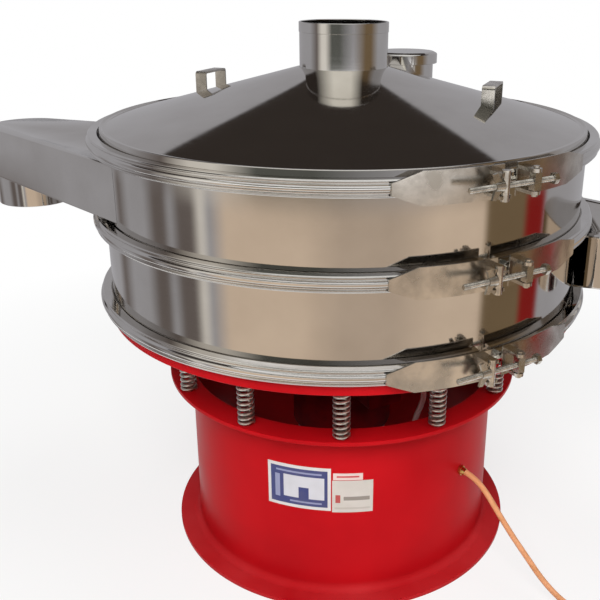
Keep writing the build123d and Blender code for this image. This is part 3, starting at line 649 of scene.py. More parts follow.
# %% Vibrating table
(_, _, seat), (FLANGE_RADIUS, _, flange) = span("table")
DECK_RADIUS = 500.0
DECK_INNER = 497.0
FLANGE_EDGE = 3.0
FLANGE_ROOT = 7.0
TABLE_HOLE = 115.5
TABLE_PLATE = 10.0
SEAT_RADIUS = 402.0
LIP_RADIUS = 507.0
LIP_WALL = 8.0
LIP_LIFT = 13.0
LIP_LOW = seat + 44.0
LIP_TOP = LIP_LOW + 23.0
table_corners = [
    (TABLE_HOLE, seat), (SEAT_RADIUS, seat), (LIP_RADIUS - LIP_WALL, LIP_LOW), (LIP_RADIUS, LIP_LOW),
    (LIP_RADIUS, LIP_TOP), (DECK_RADIUS, LIP_TOP), (DECK_RADIUS, flange - FLANGE_ROOT),
    (FLANGE_RADIUS, flange - FLANGE_EDGE), (FLANGE_RADIUS, flange), (DECK_INNER - LIP_WALL, flange),
    (DECK_INNER - LIP_WALL, LIP_LOW + LIP_LIFT), (SEAT_RADIUS, seat + TABLE_PLATE),
    (TABLE_HOLE, seat + TABLE_PLATE),
]
table_profile = rounded(table_corners, [1, 18, 3, 3, 3, 2, 1, 1, 1, 1, 8, 12, 1])
make_piece(
    "table_dish", shell(turned(table_profile, FULL_TURN)), red_enamel, "sieve", ["table"],
)


# %% [markdown]
# ## Chutes
# Each deck empties through a flat box that leaves it at a tangent, narrows, and ends in a round nose over a
# collar. Seen from above it is one outline: a straight outer side, an arc round the nose, a slanted inner
# side, and the deck's own circle between them. A cube could be cut to that plan with booleans, but the
# outline as a list of points keeps the nose smooth and its edges even.

# %% Plan of a chute
CHUTE_HEADING = -135.0
CHUTE_OFFSET = 400.0
CHUTE_REACH = 638.0
CHUTE_NOSE = 88.0
CHUTE_SPREAD = 26.6
NOSE_STEPS = 49
SIDE_STEPS = 12
ARC_STEPS = 25
GAP = 0.2
heading = math.radians(CHUTE_HEADING)
run_direction = np.array([math.sin(heading), -math.cos(heading)])
side_direction = np.array([-run_direction[1], run_direction[0]])
nose_centre = CHUTE_REACH * run_direction + CHUTE_OFFSET * side_direction


def chute_outline():
    """Plan of the chute as (along the run, across it), anticlockwise.

    The deck's arc comes first, but for its outer corner, which comes last.
    The inner side is the tangent of the nose at the spread angle. It meets the deck's circle where
    t^2 + (k + t tan s)^2 = R^2, and the outer side meets it where t^2 = R^2 - (offset + nose)^2.
    """
    circle = DECK_RADIUS + GAP
    slope = math.tan(math.radians(CHUTE_SPREAD))
    angles = np.radians(np.linspace(90, CHUTE_SPREAD - 90, NOSE_STEPS))
    nose = np.stack([
        CHUTE_REACH + CHUTE_NOSE * np.cos(angles), CHUTE_OFFSET + CHUTE_NOSE * np.sin(angles),
    ], axis=-1)
    side = CHUTE_OFFSET + CHUTE_NOSE
    outer = np.array([math.sqrt(circle ** 2 - side ** 2), side])
    level = nose[-1, 1] - nose[-1, 0] * slope
    a, b, c = 1 + slope ** 2, slope * level, level ** 2 - circle ** 2
    t = (-b + math.sqrt(b * b - a * c)) / a
    inner = np.array([t, level + t * slope])
    shares = np.linspace(0, 1, SIDE_STEPS)[1:-1, None]
    outer_side = outer + (nose[0] - outer) * shares
    inner_side = nose[-1] + (inner - nose[-1]) * shares
    sweep = np.linspace(math.atan2(inner[1], inner[0]), math.atan2(outer[1], outer[0]), ARC_STEPS + 1)
    arc = circle * np.stack([np.cos(sweep), np.sin(sweep)], axis=-1)
    return np.concatenate([arc[-1:], outer_side, nose, inner_side, arc[:-1]])[::-1]


print("chute outline", len(chute_outline()), "points,", ARC_STEPS + 1, "of them on the deck")


# %% [markdown]
# ### Box and collar
# The plan is lifted to a box. Its edges are folded sheet, so the outline is drawn in along a quarter circle
# at the bottom and at the top. The side towards the deck stays open, the bottom has a round hole over the
# collar, and a Solidify modifier adds the sheet's thickness inwards. Extruding a face would give the box too,
# but not the even folds.

# %% Both chutes
COLLAR_RADIUS = 84.0
COLLAR_HEIGHT = 67.0
COLLAR_GAP = 0.05
SHEET = 3.0
FOLD = 2.5
FOLD_STEPS = 5
HOLE_STEPS = 64
COLLAR_TURN = np.linspace(0, 360, 96, endpoint=False)


def collar_circle(height):
    """Circle of the collar's bore at a height."""
    turn = np.linspace(0, 2 * math.pi, HOLE_STEPS, endpoint=False)
    radius = COLLAR_RADIUS - SHEET
    return np.stack([
        nose_centre[0] + radius * np.cos(turn), nose_centre[1] + radius * np.sin(turn), height + 0 * turn,
    ], axis=-1)


def facing_down(points, triangles):
    """Triangles of a level plate, each turned round where its normal points up."""
    corner = points[triangles]
    normal = np.cross(corner[:, 1] - corner[:, 0], corner[:, 2] - corner[:, 0])[:, 2]
    return np.where((normal < 0)[:, None], triangles, triangles[:, ::-1]).tolist()


def chute_shell(low, high):
    """Box with folded edges: the outline drawn in by f (1 - sin q) at f (1 - cos q) from an end."""
    outline = chute_outline()
    ahead, back = np.roll(outline, -1, axis=0) - outline, outline - np.roll(outline, 1, axis=0)
    along = unit(unit(ahead) + unit(back))
    outward = np.stack([along[:, 1], -along[:, 0]], axis=-1)
    fold = np.linspace(0, math.pi / 2, FOLD_STEPS)
    draw, climb = FOLD * (1 - np.sin(fold)), FOLD * (1 - np.cos(fold))
    inset = np.concatenate([draw, [0, 0], draw[::-1]])
    rise = np.concatenate([low + climb, [low + 2 * FOLD, high - 2 * FOLD], high - climb[::-1]])
    plan = outline[None] - inset[:, None, None] * outward[None]
    flat = plan[..., :1] * run_direction + plan[..., 1:] * side_direction
    grid = np.concatenate([flat, np.broadcast_to(rise[:, None, None], flat.shape[:2] + (1,))], axis=-1)
    rows, columns = grid.shape[:2]
    cells = quads(rows, columns, False, True)
    # Left open are the deck's arc and the first step of the inner side, next to the deck.
    sides = cells[cells[:, 0] % columns >= ARC_STEPS].tolist()
    hole = collar_circle(low)
    triangles = np.array(tessellate_polygon([grid[0].tolist(), hole.tolist()]))
    bottom = np.where(triangles < columns, triangles, triangles + (rows - 1) * columns)
    top = ((rows - 1) * columns + np.arange(columns)).tolist()
    points = np.concatenate([grid.reshape(-1, 3), hole])
    return points, sides + [top] + facing_down(points, bottom)


def collar_shell(low, high):
    """Short tube under the chute's nose, with a rolled rim."""
    inner = COLLAR_RADIUS - SHEET
    corners = [(inner, low), (COLLAR_RADIUS, low), (COLLAR_RADIUS, high), (inner, high)]
    return shell(turned(rounded(corners, 1.0), COLLAR_TURN, nose_centre))


# The lower chute is the upper one turned by half a turn about the machine's axis.
for name, side in (("upper_chute", 1), ("lower_chute", -1)):
    (_, _, low), (_, _, high) = span(name)
    floor_level = low + COLLAR_HEIGHT
    half_turn = np.array([side, side, 1])
    points, faces = chute_shell(floor_level, high)
    box = (points * half_turn, faces)
    points, faces = collar_shell(low, floor_level - COLLAR_GAP)
    collar = (points * half_turn, faces)
    chute_box = make_piece(f"{name}_box", box, sheet_steel, "sieve", [name])
    thick = chute_box.modifiers.new("sheet", "SOLIDIFY")
    thick.thickness = SHEET * MM
    thick.offset = -1
    make_piece(f"{name}_collar", collar, sheet_steel, "sieve", [name])


# %% [markdown]
# ## Decks
# A deck is a rolled cylinder with a flange turned out at each end. Behind the chute its wall is open. A
# boolean could cut that mouth, but it leaves long thin faces that show in a polished wall. So the deck is
# built from three turned stretches: the wall all round the rest, and a strip below and above the mouth.

# %% Decks
MOUTH_MARGIN = 0.6
mouth_plan = chute_outline()[[0, ARC_STEPS]]
mouth_flat = mouth_plan[:, :1] * run_direction + mouth_plan[:, 1:] * side_direction
mouth = np.sort(np.degrees(np.arctan2(mouth_flat[:, 0], -mouth_flat[:, 1])))
for name, chute, turn in (("upper_deck", "upper_chute", 0), ("lower_deck", "lower_chute", 180)):
    (_, _, deck_low), (_, _, deck_high) = span(name)
    (_, _, chute_low), (_, _, chute_high) = span(chute)
    sill, head = chute_low + COLLAR_HEIGHT + SHEET, chute_high - SHEET
    foot = [
        (DECK_INNER, deck_low), (FLANGE_RADIUS, deck_low), (FLANGE_RADIUS, deck_low + FLANGE_EDGE),
        (DECK_RADIUS, deck_low + FLANGE_ROOT),
    ]
    crown = [
        (DECK_RADIUS, deck_high - FLANGE_ROOT), (FLANGE_RADIUS, deck_high - FLANGE_EDGE),
        (FLANGE_RADIUS, deck_high), (DECK_INNER, deck_high),
    ]
    first, last = mouth + turn + np.array([MOUTH_MARGIN, -MOUTH_MARGIN])
    wall_angles = np.linspace(last, first + 360, 320)
    mouth_angles = np.linspace(first, last, 50)
    stretches = [
        (foot + crown, wall_angles),
        (foot + [(DECK_RADIUS, sill), (DECK_INNER, sill)], mouth_angles),
        ([(DECK_INNER, head), (DECK_RADIUS, head)] + crown, mouth_angles),
    ]
    shells = [
        shell(turned(rounded(corners, 1.0, steps=3), angles), wrap_columns=False, caps=True)
        for corners, angles in stretches
    ]
    make_piece(f"{name}_wall", joined(*shells), sheet_steel, "sieve", [name])


# %% [markdown]
# ## Lid and spout
# The lid is a flat cone that stands in a raised rim, with a shallow gutter between them, and the spout is a
# plain rolled tube with a hem, set straight on the cone. Both are spun or rolled in reality, so both are
# turned profiles. The sight port's hole is cut through the cone further down.

# %% Lid and spout
lid_seat = span("lid")[0][2]
spout_top = span("feed_spout")[1][2]
SPOUT_RADIUS = 91.0
CONE_FOOT_RADIUS = 485.0
GUTTER = 6.0
GUTTER_LIFT = 20.0
CONE_RISE = 107.0
BEAD_HEIGHT = 24.0
BEAD_WIDTH = 12.0
cone_foot = lid_seat + GUTTER_LIFT
cone_top = cone_foot + CONE_RISE
cone_slope = CONE_RISE / (CONE_FOOT_RADIUS - SPOUT_RADIUS)
rim_inner = CONE_FOOT_RADIUS + GUTTER
lid_corners = [
    (SPOUT_RADIUS + GAP, cone_top - SHEET), (CONE_FOOT_RADIUS, cone_foot - SHEET),
    (rim_inner, cone_foot - SHEET), (rim_inner, lid_seat), (FLANGE_RADIUS, lid_seat),
    (FLANGE_RADIUS, lid_seat + FLANGE_EDGE), (DECK_RADIUS, lid_seat + FLANGE_ROOT),
    (rim_inner + BEAD_WIDTH / 2, lid_seat + BEAD_HEIGHT), (rim_inner, cone_foot),
    (CONE_FOOT_RADIUS, cone_foot), (SPOUT_RADIUS + GAP, cone_top),
]
lid_profile = rounded(lid_corners, [0.5, 4, 2, 1, 0.8, 0.8, 4, 3, 2, 4, 0.5])
lid_cone = make_piece(
    "lid_cone", shell(turned(lid_profile, FULL_TURN)), lid_steel, "sieve", ["lid"],
)
HEM_HEIGHT = 20.0
HEM = 1.0
spout_start = cone_top - 2 * SHEET
spout_corners = [
    (SPOUT_RADIUS - SHEET, spout_start), (SPOUT_RADIUS, spout_start),
    (SPOUT_RADIUS, spout_top - HEM_HEIGHT), (SPOUT_RADIUS + HEM, spout_top - HEM_HEIGHT),
    (SPOUT_RADIUS + HEM, spout_top), (SPOUT_RADIUS - SHEET, spout_top),
]
spout_profile = rounded(spout_corners, [0.5, 0.5, 0.4, 0.4, 1.2, 1.2])
SMALL_TURN = np.linspace(0, 360, 160, endpoint=False)
make_piece(
    "spout_shell", shell(turned(spout_profile, SMALL_TURN)), band_steel, "sieve", ["feed_spout"],
)


# %% [markdown]
# ## Sight port
# Behind the spout a short collar with a lift-off cap lets the operator look in. The collar is a tube whose
# foot is cut to the cone's slope. Instead of cutting it, every point below the cone is lifted to the cone.

# %% Sight port
port_low, port_high = span("sight_port_collar")
port_centre = (port_low[:2] + port_high[:2]) / 2
port_foot, port_head = port_low[2], port_high[2]
(_, _, cap_low), (_, _, cap_high) = span("sight_port_cap")
PORT_RADIUS = 66.0
PORT_HEIGHT = 58.0
CAP_RADIUS = 75.0
CAP_EDGE = 9.0
CAP_POLE = 0.01


def cone_level(radius):
    """Height of the cone's outside at a radius from the axis: top - slope (radius - spout)."""
    return cone_top - cone_slope * (radius - SPOUT_RADIUS)


def on_cone(grid):
    """Grid with every point lifted to the cone where it would lie below it."""
    level = cone_level(np.hypot(grid[..., 0], grid[..., 1])) + GAP
    return np.concatenate([grid[..., :2], np.maximum(grid[..., 2], level)[..., None]], axis=-1)


port_bore = PORT_RADIUS - SHEET
port_top = cone_level(np.hypot(*port_centre)) + PORT_HEIGHT
port_corners = [
    (port_bore, port_foot), (PORT_RADIUS, port_foot), (PORT_RADIUS, port_top), (port_bore, port_top),
]
port_grid = on_cone(turned(rounded(port_corners, 0.8), SMALL_TURN, port_centre))
make_piece("port_collar", shell(port_grid), band_steel, "sieve", ["sight_port_collar"])
cap_foot, cap_top = np.array([cap_low, cap_high]) + port_top - port_head
cap_corners = [
    (CAP_POLE, cap_top - 2 * SHEET), (CAP_RADIUS - SHEET, cap_top - 2 * SHEET),
    (CAP_RADIUS - SHEET, cap_foot), (CAP_RADIUS, cap_foot), (CAP_RADIUS, cap_top - CAP_EDGE / 2),
    (CAP_RADIUS - CAP_EDGE, cap_top), (CAP_POLE, cap_top),
]
cap_profile = rounded(cap_corners, [0, 2, 0.8, 0.8, 4, 6, 0])
make_piece(
    "port_cap", shell(turned(cap_profile, SMALL_TURN, port_centre)), band_steel, "sight_port_cap",
    ["sight_port_cap"],
)


# %% [markdown]
# ## Hole under the sight port
# The collar would stand on closed sheet, so the cone is opened under it. A boolean is the plain way here: the
# hole is round and the cone is one shell. The cut is made a mesh at once, so no modifier is left on the lid.

# %% Hole under the sight port
CUT_DEPTH = 40.0
cut_profile = np.array([(port_bore, port_foot - CUT_DEPTH), (port_bore, port_top)])
cut_points, cut_faces = shell(turned(cut_profile, SMALL_TURN, port_centre), wrap_rows=False)
ring = np.arange(len(SMALL_TURN))
cut_faces += [ring[::-1].tolist(), (ring + len(ring)).tolist()]
cutter_mesh = bpy.data.meshes.new("port_hole")
cutter_mesh.from_pydata((cut_points * MM).tolist(), [], cut_faces)
cutter = bpy.data.objects.new("port_hole", cutter_mesh)
bpy.context.scene.collection.objects.link(cutter)
hole_cut = lid_cone.modifiers.new("port_hole", "BOOLEAN")
hole_cut.object = cutter
bpy.context.view_layer.update()
depsgraph = bpy.context.evaluated_depsgraph_get()
cut_lid = bpy.data.meshes.new_from_object(lid_cone.evaluated_get(depsgraph))
lid_cone.modifiers.clear()
lid_cone.data = cut_lid
bpy.data.objects.remove(cutter)
print("lid cut to", len(cut_lid.polygons), "faces")


# %% [markdown]
# ## Strap handles
# Two handles are bent from flat bar and welded to the cone. Seen along the radius a handle is an arch, and
# that outline is carried across the bar's width. A bevelled curve could do it too, but its feet would not
# follow the cone: here a point never lies below it.

# %% Strap handles
HANDLE_ANGLE = 70.0
HANDLE_CIRCLE = 311.0
HANDLE_SPAN = 92.0
HANDLE_RISE = 40.0
HANDLE_WIDTH = 25.0
HANDLE_STRAP = 4.0
HANDLE_LEG = -12.0
handle_foot = cone_level(HANDLE_CIRCLE)
outer_leg, inner_leg = HANDLE_SPAN / 2, HANDLE_SPAN / 2 - HANDLE_STRAP
under_bar = HANDLE_RISE - HANDLE_STRAP
arch = [
    (-outer_leg, HANDLE_LEG), (-inner_leg, HANDLE_LEG), (-inner_leg, under_bar), (inner_leg, under_bar),
    (inner_leg, HANDLE_LEG), (outer_leg, HANDLE_LEG), (outer_leg, HANDLE_RISE), (-outer_leg, HANDLE_RISE),
]
arch_outline = rounded(arch, [0.8, 0.8, 3, 3, 0.8, 0.8, 7, 7])


def strap_handle(angle):
    """Arch outline carried across the strap's width: along the rim, up, and outwards from the axis."""
    turn = math.radians(angle)
    outward = np.array([math.sin(turn), -math.cos(turn), 0])
    tangent = np.array([math.cos(turn), math.sin(turn), 0])
    across = np.linspace(-HANDLE_WIDTH / 2, HANDLE_WIDTH / 2, 9)
    flat = arch_outline[:, None, :1] * tangent + (HANDLE_CIRCLE + across)[None, :, None] * outward
    lift = np.broadcast_to(handle_foot + arch_outline[:, None, 1:], flat.shape[:2] + (1,))
    grid = np.concatenate([flat[..., :2], lift], axis=-1)
    return shell(on_cone(grid)[:, ::-1], wrap_columns=False, caps=True)


make_piece(
    "strap_handles", joined(strap_handle(HANDLE_ANGLE), strap_handle(HANDLE_ANGLE + 180)), plate_steel,
    "sieve", ["lid_handles"],
)


# %% [markdown]
# ## Clamp bands
# A clamp band is rolled from strip to three ridges: a wide bead in the middle and a narrow one along each
# edge. Inside it is a channel whose slanted legs press the two flanges together. Three tori could stand for
# the ridges, but they would meet in creases. One formula of the height gives them soft valleys: a flat-topped
# bell for the bead and a narrow bell for each edge.

# %% Clamp bands
BAND_BASE = 518.6
BEAD_RISE = 6.4
BEAD_HALF = 5.8
RIM_RISE = 2.6
RIM_HEIGHT = 11.8
RIM_HALF = 1.7
LEG_INNER = (513.5, 7.5)
LEG_TIP = (503.0, 10.6)
LEG_WALL = 3.0
CLOSURE_ANGLE = 30.5
CLOSURE_GAP = 27.0


def band_ridges(height):
    """Radius of the band's outside: base + bead exp(-(z / a)^4) + rim exp(-((|z| - h) / b)^2)."""
    bead = BEAD_RISE * np.exp(-(height / BEAD_HALF) ** 4)
    rim = RIM_RISE * np.exp(-((np.abs(height) - RIM_HEIGHT) / RIM_HALF) ** 2)
    return BAND_BASE + bead + rim


half_gap = math.degrees(math.asin(CLOSURE_GAP / 2 / BAND_BASE))
band_angles = np.linspace(CLOSURE_ANGLE + half_gap, CLOSURE_ANGLE - half_gap + 360, 400)
for level in LEVELS:
    low, high = span(f"{level}_clamp_band")
    joint = (low[2] + high[2]) / 2
    half_height = (high[2] - low[2]) / 2
    height = np.linspace(-half_height, half_height, 61)
    outside = np.stack([band_ridges(height), height], axis=-1)
    inside = np.array([
        (LEG_TIP[0], LEG_TIP[1] + LEG_WALL), LEG_TIP, LEG_INNER,
        (LEG_INNER[0], -LEG_INNER[1]), (LEG_TIP[0], -LEG_TIP[1]), (LEG_TIP[0], -LEG_TIP[1] - LEG_WALL),
    ])
    profile = np.concatenate([outside, inside]) + (0, joint)
    band = shell(turned(profile, band_angles), wrap_columns=False, caps=True)
    make_piece(
        f"{level}_rolled_band", band, band_steel, "sieve", [f"{level}_clamp_band"], sharp=50,
    )


# %% [markdown]
# ## Threaded swing bolts
# The bolt of each closure swings about its pivot barrel and is threaded over its whole length. A thread is
# a rod whose radius rises and falls with the distance along it minus the share of a turn. A bump would be
# lighter, but the ridges show at the bolt's outline, so they are real. The pitch of 2 mm is coarse enough to
# be seen.

# %% Threaded swing bolts
BOLT_RADIUS = 5.0
THREAD_PITCH = 2.0
THREAD_DEPTH = 0.7
CHAMFER = 1.2
BOLT_START = -103.0
BOLT_END = 79.0
CLOSURE_REACH = 552.0
closure_turn = math.radians(CLOSURE_ANGLE)
closure_out = np.array([math.sin(closure_turn), -math.cos(closure_turn), 0])
closure_right = np.array([math.cos(closure_turn), math.sin(closure_turn), 0])


def threaded_rod():
    """Rod along x: r = R - d |2 frac(x / p - t / 2 pi) - 1|, with its ends drawn in to a chamfer."""
    along = np.linspace(BOLT_START, BOLT_END, 500)[None, :]
    turn = np.linspace(0, 2 * math.pi, 18, endpoint=False)[:, None]
    phase = np.mod(along / THREAD_PITCH - turn / (2 * math.pi), 1)
    radius = BOLT_RADIUS - THREAD_DEPTH * np.abs(2 * phase - 1)
    end = np.minimum(along - BOLT_START, BOLT_END - along)
    radius = np.minimum(radius, BOLT_RADIUS - CHAMFER + end)
    return along + 0 * turn, radius * np.cos(turn), radius * np.sin(turn)


for level in LEVELS:
    low, high = span(f"{level}_swing_bolt")
    along, up, outward = threaded_rod()
    grid = (
        along[..., None] * closure_right
        + (CLOSURE_REACH + outward)[..., None] * closure_out
        + (up + (low[2] + high[2]) / 2)[..., None] * np.array([0, 0, 1])
    )
    make_piece(
        f"{level}_threaded_bolt", shell(grid, wrap_columns=False, caps=True), bolt_steel, f"{level}_closure",
        [f"{level}_swing_bolt"], sharp=25,
    )


# %% [markdown]
# ## Label plates
# The drum carries a data plate and two small labels. They are blank, generic plates here: thin curved sheets
# with coloured fields. Pieces of mesh in several colours could make the fields. A UV map that runs from 0 to
# 1 across and up each plate is simpler, because the material can then draw every field as a box.

# %% Printed film
GRIME_MM = 30


def field(tree, across, up, box):
    """1 inside a box (left, low, right, high) of plate coordinates, 0 outside: a product of four steps."""
    left, low, right, high = box
    product = 1.0
    for value, start, end in ((across, left, right), (up, low, high)):
        for edge, operation in ((start, "GREATER_THAN"), (end, "LESS_THAN")):
            step = add(tree, "Math", [value, edge], operation=operation).outputs["Value"]
            product = add(tree, "Math", [step, product], operation="MULTIPLY").outputs["Value"]
    return product


def printed_film(name, ground, fields):
    """Printed polyester film: a ground colour and boxes of other colours over it."""
    material, tree, shader, place = new_finish(name)
    plate = add(tree, "UVMap", {}, uv_map="plate").outputs["UV"]
    parts = add(tree, "SeparateXYZ", [plate])
    tone = linear(ground)
    for code, box in fields:
        inside = field(tree, parts.outputs["X"], parts.outputs["Y"], box)
        tone = add(tree, "MixRGB", [inside, tone, linear(code)]).outputs["Color"]
    grime = blotches(tree, place, GRIME_MM)
    dirty = add(tree, "MixRGB", [spread(tree, grime, 0.0, 0.12), tone, linear("#8a8078")])
    tree.links.new(dirty.outputs["Color"], shader.inputs["Base Color"])
    tree.links.new(spread(tree, grime, 0.3, 0.45), shader.inputs["Roughness"])
    return material


data_film = printed_film("printed_data_plate", "#d9d6d4", [
    ("#2c3570", (0.05, 0.07, 0.95, 0.93)),
    ("#cfd0d6", (0.26, 0.24, 0.9, 0.76)),
    ("#2c3570", (0.5, 0.24, 0.66, 0.5)),
    ("#8e93b4", (0.14, 0.82, 0.86, 0.86)),
    ("#8e93b4", (0.12, 0.2, 0.2, 0.74)),
    ("#8e93b4", (0.36, 0.13, 0.86, 0.17)),
])
pale_film = printed_film("printed_pale_label", "#cdc7bf", [
    ("#bdb6ad", (0.06, 0.1, 0.94, 0.16)),
    ("#b4403f", (0.08, 0.3, 0.2, 0.55)),
    ("#8d857c", (0.28, 0.38, 0.92, 0.5)),
])
strip_film = printed_film("printed_strip", "#e2c9c4", [("#c8323a", (0.12, 0.38, 0.88, 0.62))])


# %% [markdown]
# ### Curved plates
# Each plate is a thin turned stretch that lies on the drum's wall, given by its first and last angle and its
# lower and upper edge. The UV map is worked out from the same grid, so it can't slip.

# %% Label plates
FILM_BACK = DRUM_RADIUS + 0.1
FILM_FRONT = DRUM_RADIUS + 0.7
LABELS = {
    "data_plate": (data_film, -25.4, -3.4, 207.0, 306.5),
    "pale_label": (pale_film, -3.0, 10.7, 204.0, 279.0),
    "strip_label": (strip_film, -2.7, 7.2, 280.5, 296.0),
}
for name, (film, first, last, low, high) in LABELS.items():
    profile = np.array([(FILM_BACK, low), (FILM_FRONT, low), (FILM_FRONT, high), (FILM_BACK, high)])
    angles = np.linspace(first, last, 40)
    plate = make_piece(
        name, shell(turned(profile, angles), wrap_columns=False, caps=True), film, "base",
    )
    across = np.broadcast_to(np.linspace(0, 1, len(angles))[None, :], (len(profile), len(angles)))
    up = np.broadcast_to(((profile[:, 1] - low) / (high - low))[:, None], across.shape)
    spot = np.stack([across, up], axis=-1).reshape(-1, 2)
    corner_of = np.zeros(len(plate.data.loops), dtype=np.int32)
    plate.data.loops.foreach_get("vertex_index", corner_of)
    plate.data.uv_layers.new(name="plate").data.foreach_set("uv", spot[corner_of].ravel())


# %% [markdown]
# ## Floor and white room
# The machine stands on a plain pale floor in a white room. More light would make both white, but it would
# bleach the paint and the steel as well. So only rays that look at the background directly see plain white.
# Near the machine the floor keeps a share of its painted colour, and with it the shadow.

# %% Floor
WHITE = (1, 1, 1, 1)
FLOOR_SIZE = 12.0
FLOOR_FADE = (0.8, 2.0, 0.75, 1.0)


def seen_directly(tree):
    """1 for a ray from the camera, off a gloss or through glass, else 0: the maximum of three flags."""
    rays = add(tree, "LightPath", {}).outputs
    flag = rays["Is Camera Ray"]
    for kind in ("Is Glossy Ray", "Is Transmission Ray"):
        flag = add(tree, "Math", [flag, rays[kind]], operation="MAXIMUM").outputs["Value"]
    return flag


corner = FLOOR_SIZE / 2
floor_corners = [(-corner, -corner, 0), (corner, -corner, 0), (corner, corner, 0), (-corner, corner, 0)]
floor_mesh = bpy.data.meshes.new("floor")
floor_mesh.from_pydata(floor_corners, [], [(0, 1, 2, 3)])
floor = bpy.data.objects.new("floor", floor_mesh)
bpy.context.scene.collection.objects.link(floor)
floor_paint, floor_tree, floor_shader, floor_place = new_finish("pale_floor_paint")
floor_shader.inputs["Base Color"].default_value = linear("#f0efed")
floor_shader.inputs["Roughness"].default_value = 0.8
glow = add(floor_tree, "Emission", {"Color": WHITE, "Strength": 1.0})
away = add(floor_tree, "VectorMath", [floor_place], operation="LENGTH").outputs["Value"]
white_share = add(floor_tree, "MapRange", [away, *FLOOR_FADE]).outputs["Result"]
share = add(floor_tree, "Math", [seen_directly(floor_tree), white_share], operation="MULTIPLY")
floor_mix = add(floor_tree, "MixShader", [
    share.outputs["Value"], floor_shader.outputs["BSDF"], glow.outputs["Emission"],
])
floor_tree.links.new(floor_mix.outputs["Shader"], floor_tree.nodes["Material Output"].inputs["Surface"])
floor_mesh.materials.append(floor_paint)
print("floor", FLOOR_SIZE, "m wide")

# %% White room
ROOM_LIGHT = 0.22
world = bpy.data.worlds.new("white_room")
bpy.context.scene.world = world
world.use_nodes = True
world_tree = world.node_tree
world_tree.nodes.clear()
room_light = add(world_tree, "Background", {"Color": WHITE, "Strength": ROOM_LIGHT})
room_white = add(world_tree, "Background", {"Color": WHITE, "Strength": 1.0})
world_mix = add(world_tree, "MixShader", [
    seen_directly(world_tree), room_light.outputs["Background"], room_white.outputs["Background"],
])
add(world_tree, "OutputWorld", {"Surface": world_mix.outputs["Shader"]})
print("room lights the machine at", ROOM_LIGHT)


# %% [markdown]
# ## Reflector screen
# A mirror shows the room, not itself, so in a white room polished steel looks empty. A photographer stands
# cards round such an object. Here one round screen does that, and only reflections can see it. Its colour
# changes with the bearing and the height, so that each surface finds something to show: the decks see the
# low part, the bands and the chutes the middle, and the lid the top.

# %% Reflector screen
SCREEN_RADIUS = 1.35
SCREEN_HEIGHT = 3.0
screen_profile = np.array([(SCREEN_RADIUS, 0.0), (SCREEN_RADIUS, SCREEN_HEIGHT)])
screen_points, screen_faces = shell(turned(screen_profile, FULL_TURN), wrap_rows=False)
hall_mesh = bpy.data.meshes.new("hall_screen")
hall_mesh.from_pydata(screen_points.tolist(), [], screen_faces)
hall = bpy.data.objects.new("hall_screen", hall_mesh)
bpy.context.scene.collection.objects.link(hall)
hall.visible_camera = False
hall.visible_diffuse = False
hall.visible_transmission = False
hall.visible_shadow = False
print("screen", 2 * SCREEN_RADIUS, "m across and", SCREEN_HEIGHT, "m high")


# %% [markdown]
# ### Tones round the screen
# Eight plain tones are enough: beige in front, a little darker in the middle, brown and red at the right,
# grey at the sides and behind, and a few upright stripes at the left. Higher up the front is dark and one
# stretch at the left is pale. A radial gradient gives the bearing, and a colour ramp the tones along it.

# %% Tones round the screen
GREY, DARK_GREY, PALE_GREY, BLACK_GREY = "#8a898c", "#5a5350", "#c0bcb5", "#4c4d49"
BEIGE, DARK_BEIGE, BROWN, RED = "#baa895", "#a69686", "#64543f", "#721a18"
MIDDLE_FADE = (0.61, 0.74, 0.0, 1.0)


def bearings(stops):
    """Stops given by the angle from the front, positive to the right, as shares of a full turn."""
    return [(0.5 + angle / 360, code) for angle, code in stops]


hall_paint, hall_tree, _, hall_place = new_finish("hall_colours")
hall_spin = add(hall_tree, "Mapping", {"Vector": hall_place, "Rotation": (0, 0, math.radians(90))})
bearing = add(hall_tree, "TexGradient", [hall_spin.outputs["Vector"]], gradient_type="RADIAL").outputs["Fac"]
hall_height = add(hall_tree, "SeparateXYZ", [hall_place]).outputs["Z"]
hall_low = add(hall_tree, "ValToRGB", [bearing], stops=bearings([
    (-180, GREY), (-112, GREY), (-105, DARK_GREY), (-96, GREY), (-84, GREY), (-77, DARK_GREY),
    (-72, DARK_GREY), (-68, GREY), (-63, DARK_GREY), (-57, DARK_GREY), (-53, PALE_GREY), (-49, GREY),
    (-42, BEIGE), (-14, BEIGE), (0, DARK_BEIGE), (18, DARK_BEIGE), (34, BEIGE), (52, BEIGE),
    (55, BROWN), (72, BROWN), (75, RED), (84, RED), (87, GREY), (180, GREY),
]))
hall_middle = add(hall_tree, "ValToRGB", [bearing], stops=bearings([
    (-180, GREY), (-92, GREY), (-70, DARK_GREY), (-56, PALE_GREY), (-46, PALE_GREY), (-30, BLACK_GREY),
    (-10, BLACK_GREY), (24, GREY), (56, BROWN), (72, BROWN), (96, GREY), (180, GREY),
]))
middle_share = add(hall_tree, "MapRange", [hall_height, *MIDDLE_FADE]).outputs["Result"]
walls = add(hall_tree, "MixRGB", [middle_share, hall_low.outputs["Color"], hall_middle.outputs["Color"]])
for level, tones in (("low", hall_low), ("middle", hall_middle)):
    print(level, "part of the screen has", len(tones.color_ramp.elements), "stops")


# %% [markdown]
# ### Bright strip, dark top and window
# Three things are added to the tones. A white strip at the height of the bands draws the fine bright lines
# along their ridges. Above an edge that drops towards the back the screen is dark, and the cone of the lid
# shows that as a dark wedge. A soft pale window in the front makes the spout's foot shine. Steel gives back
# about 0.62 of the light, so the screen glows by 1 / 0.62 and the steel shows its tones as written.

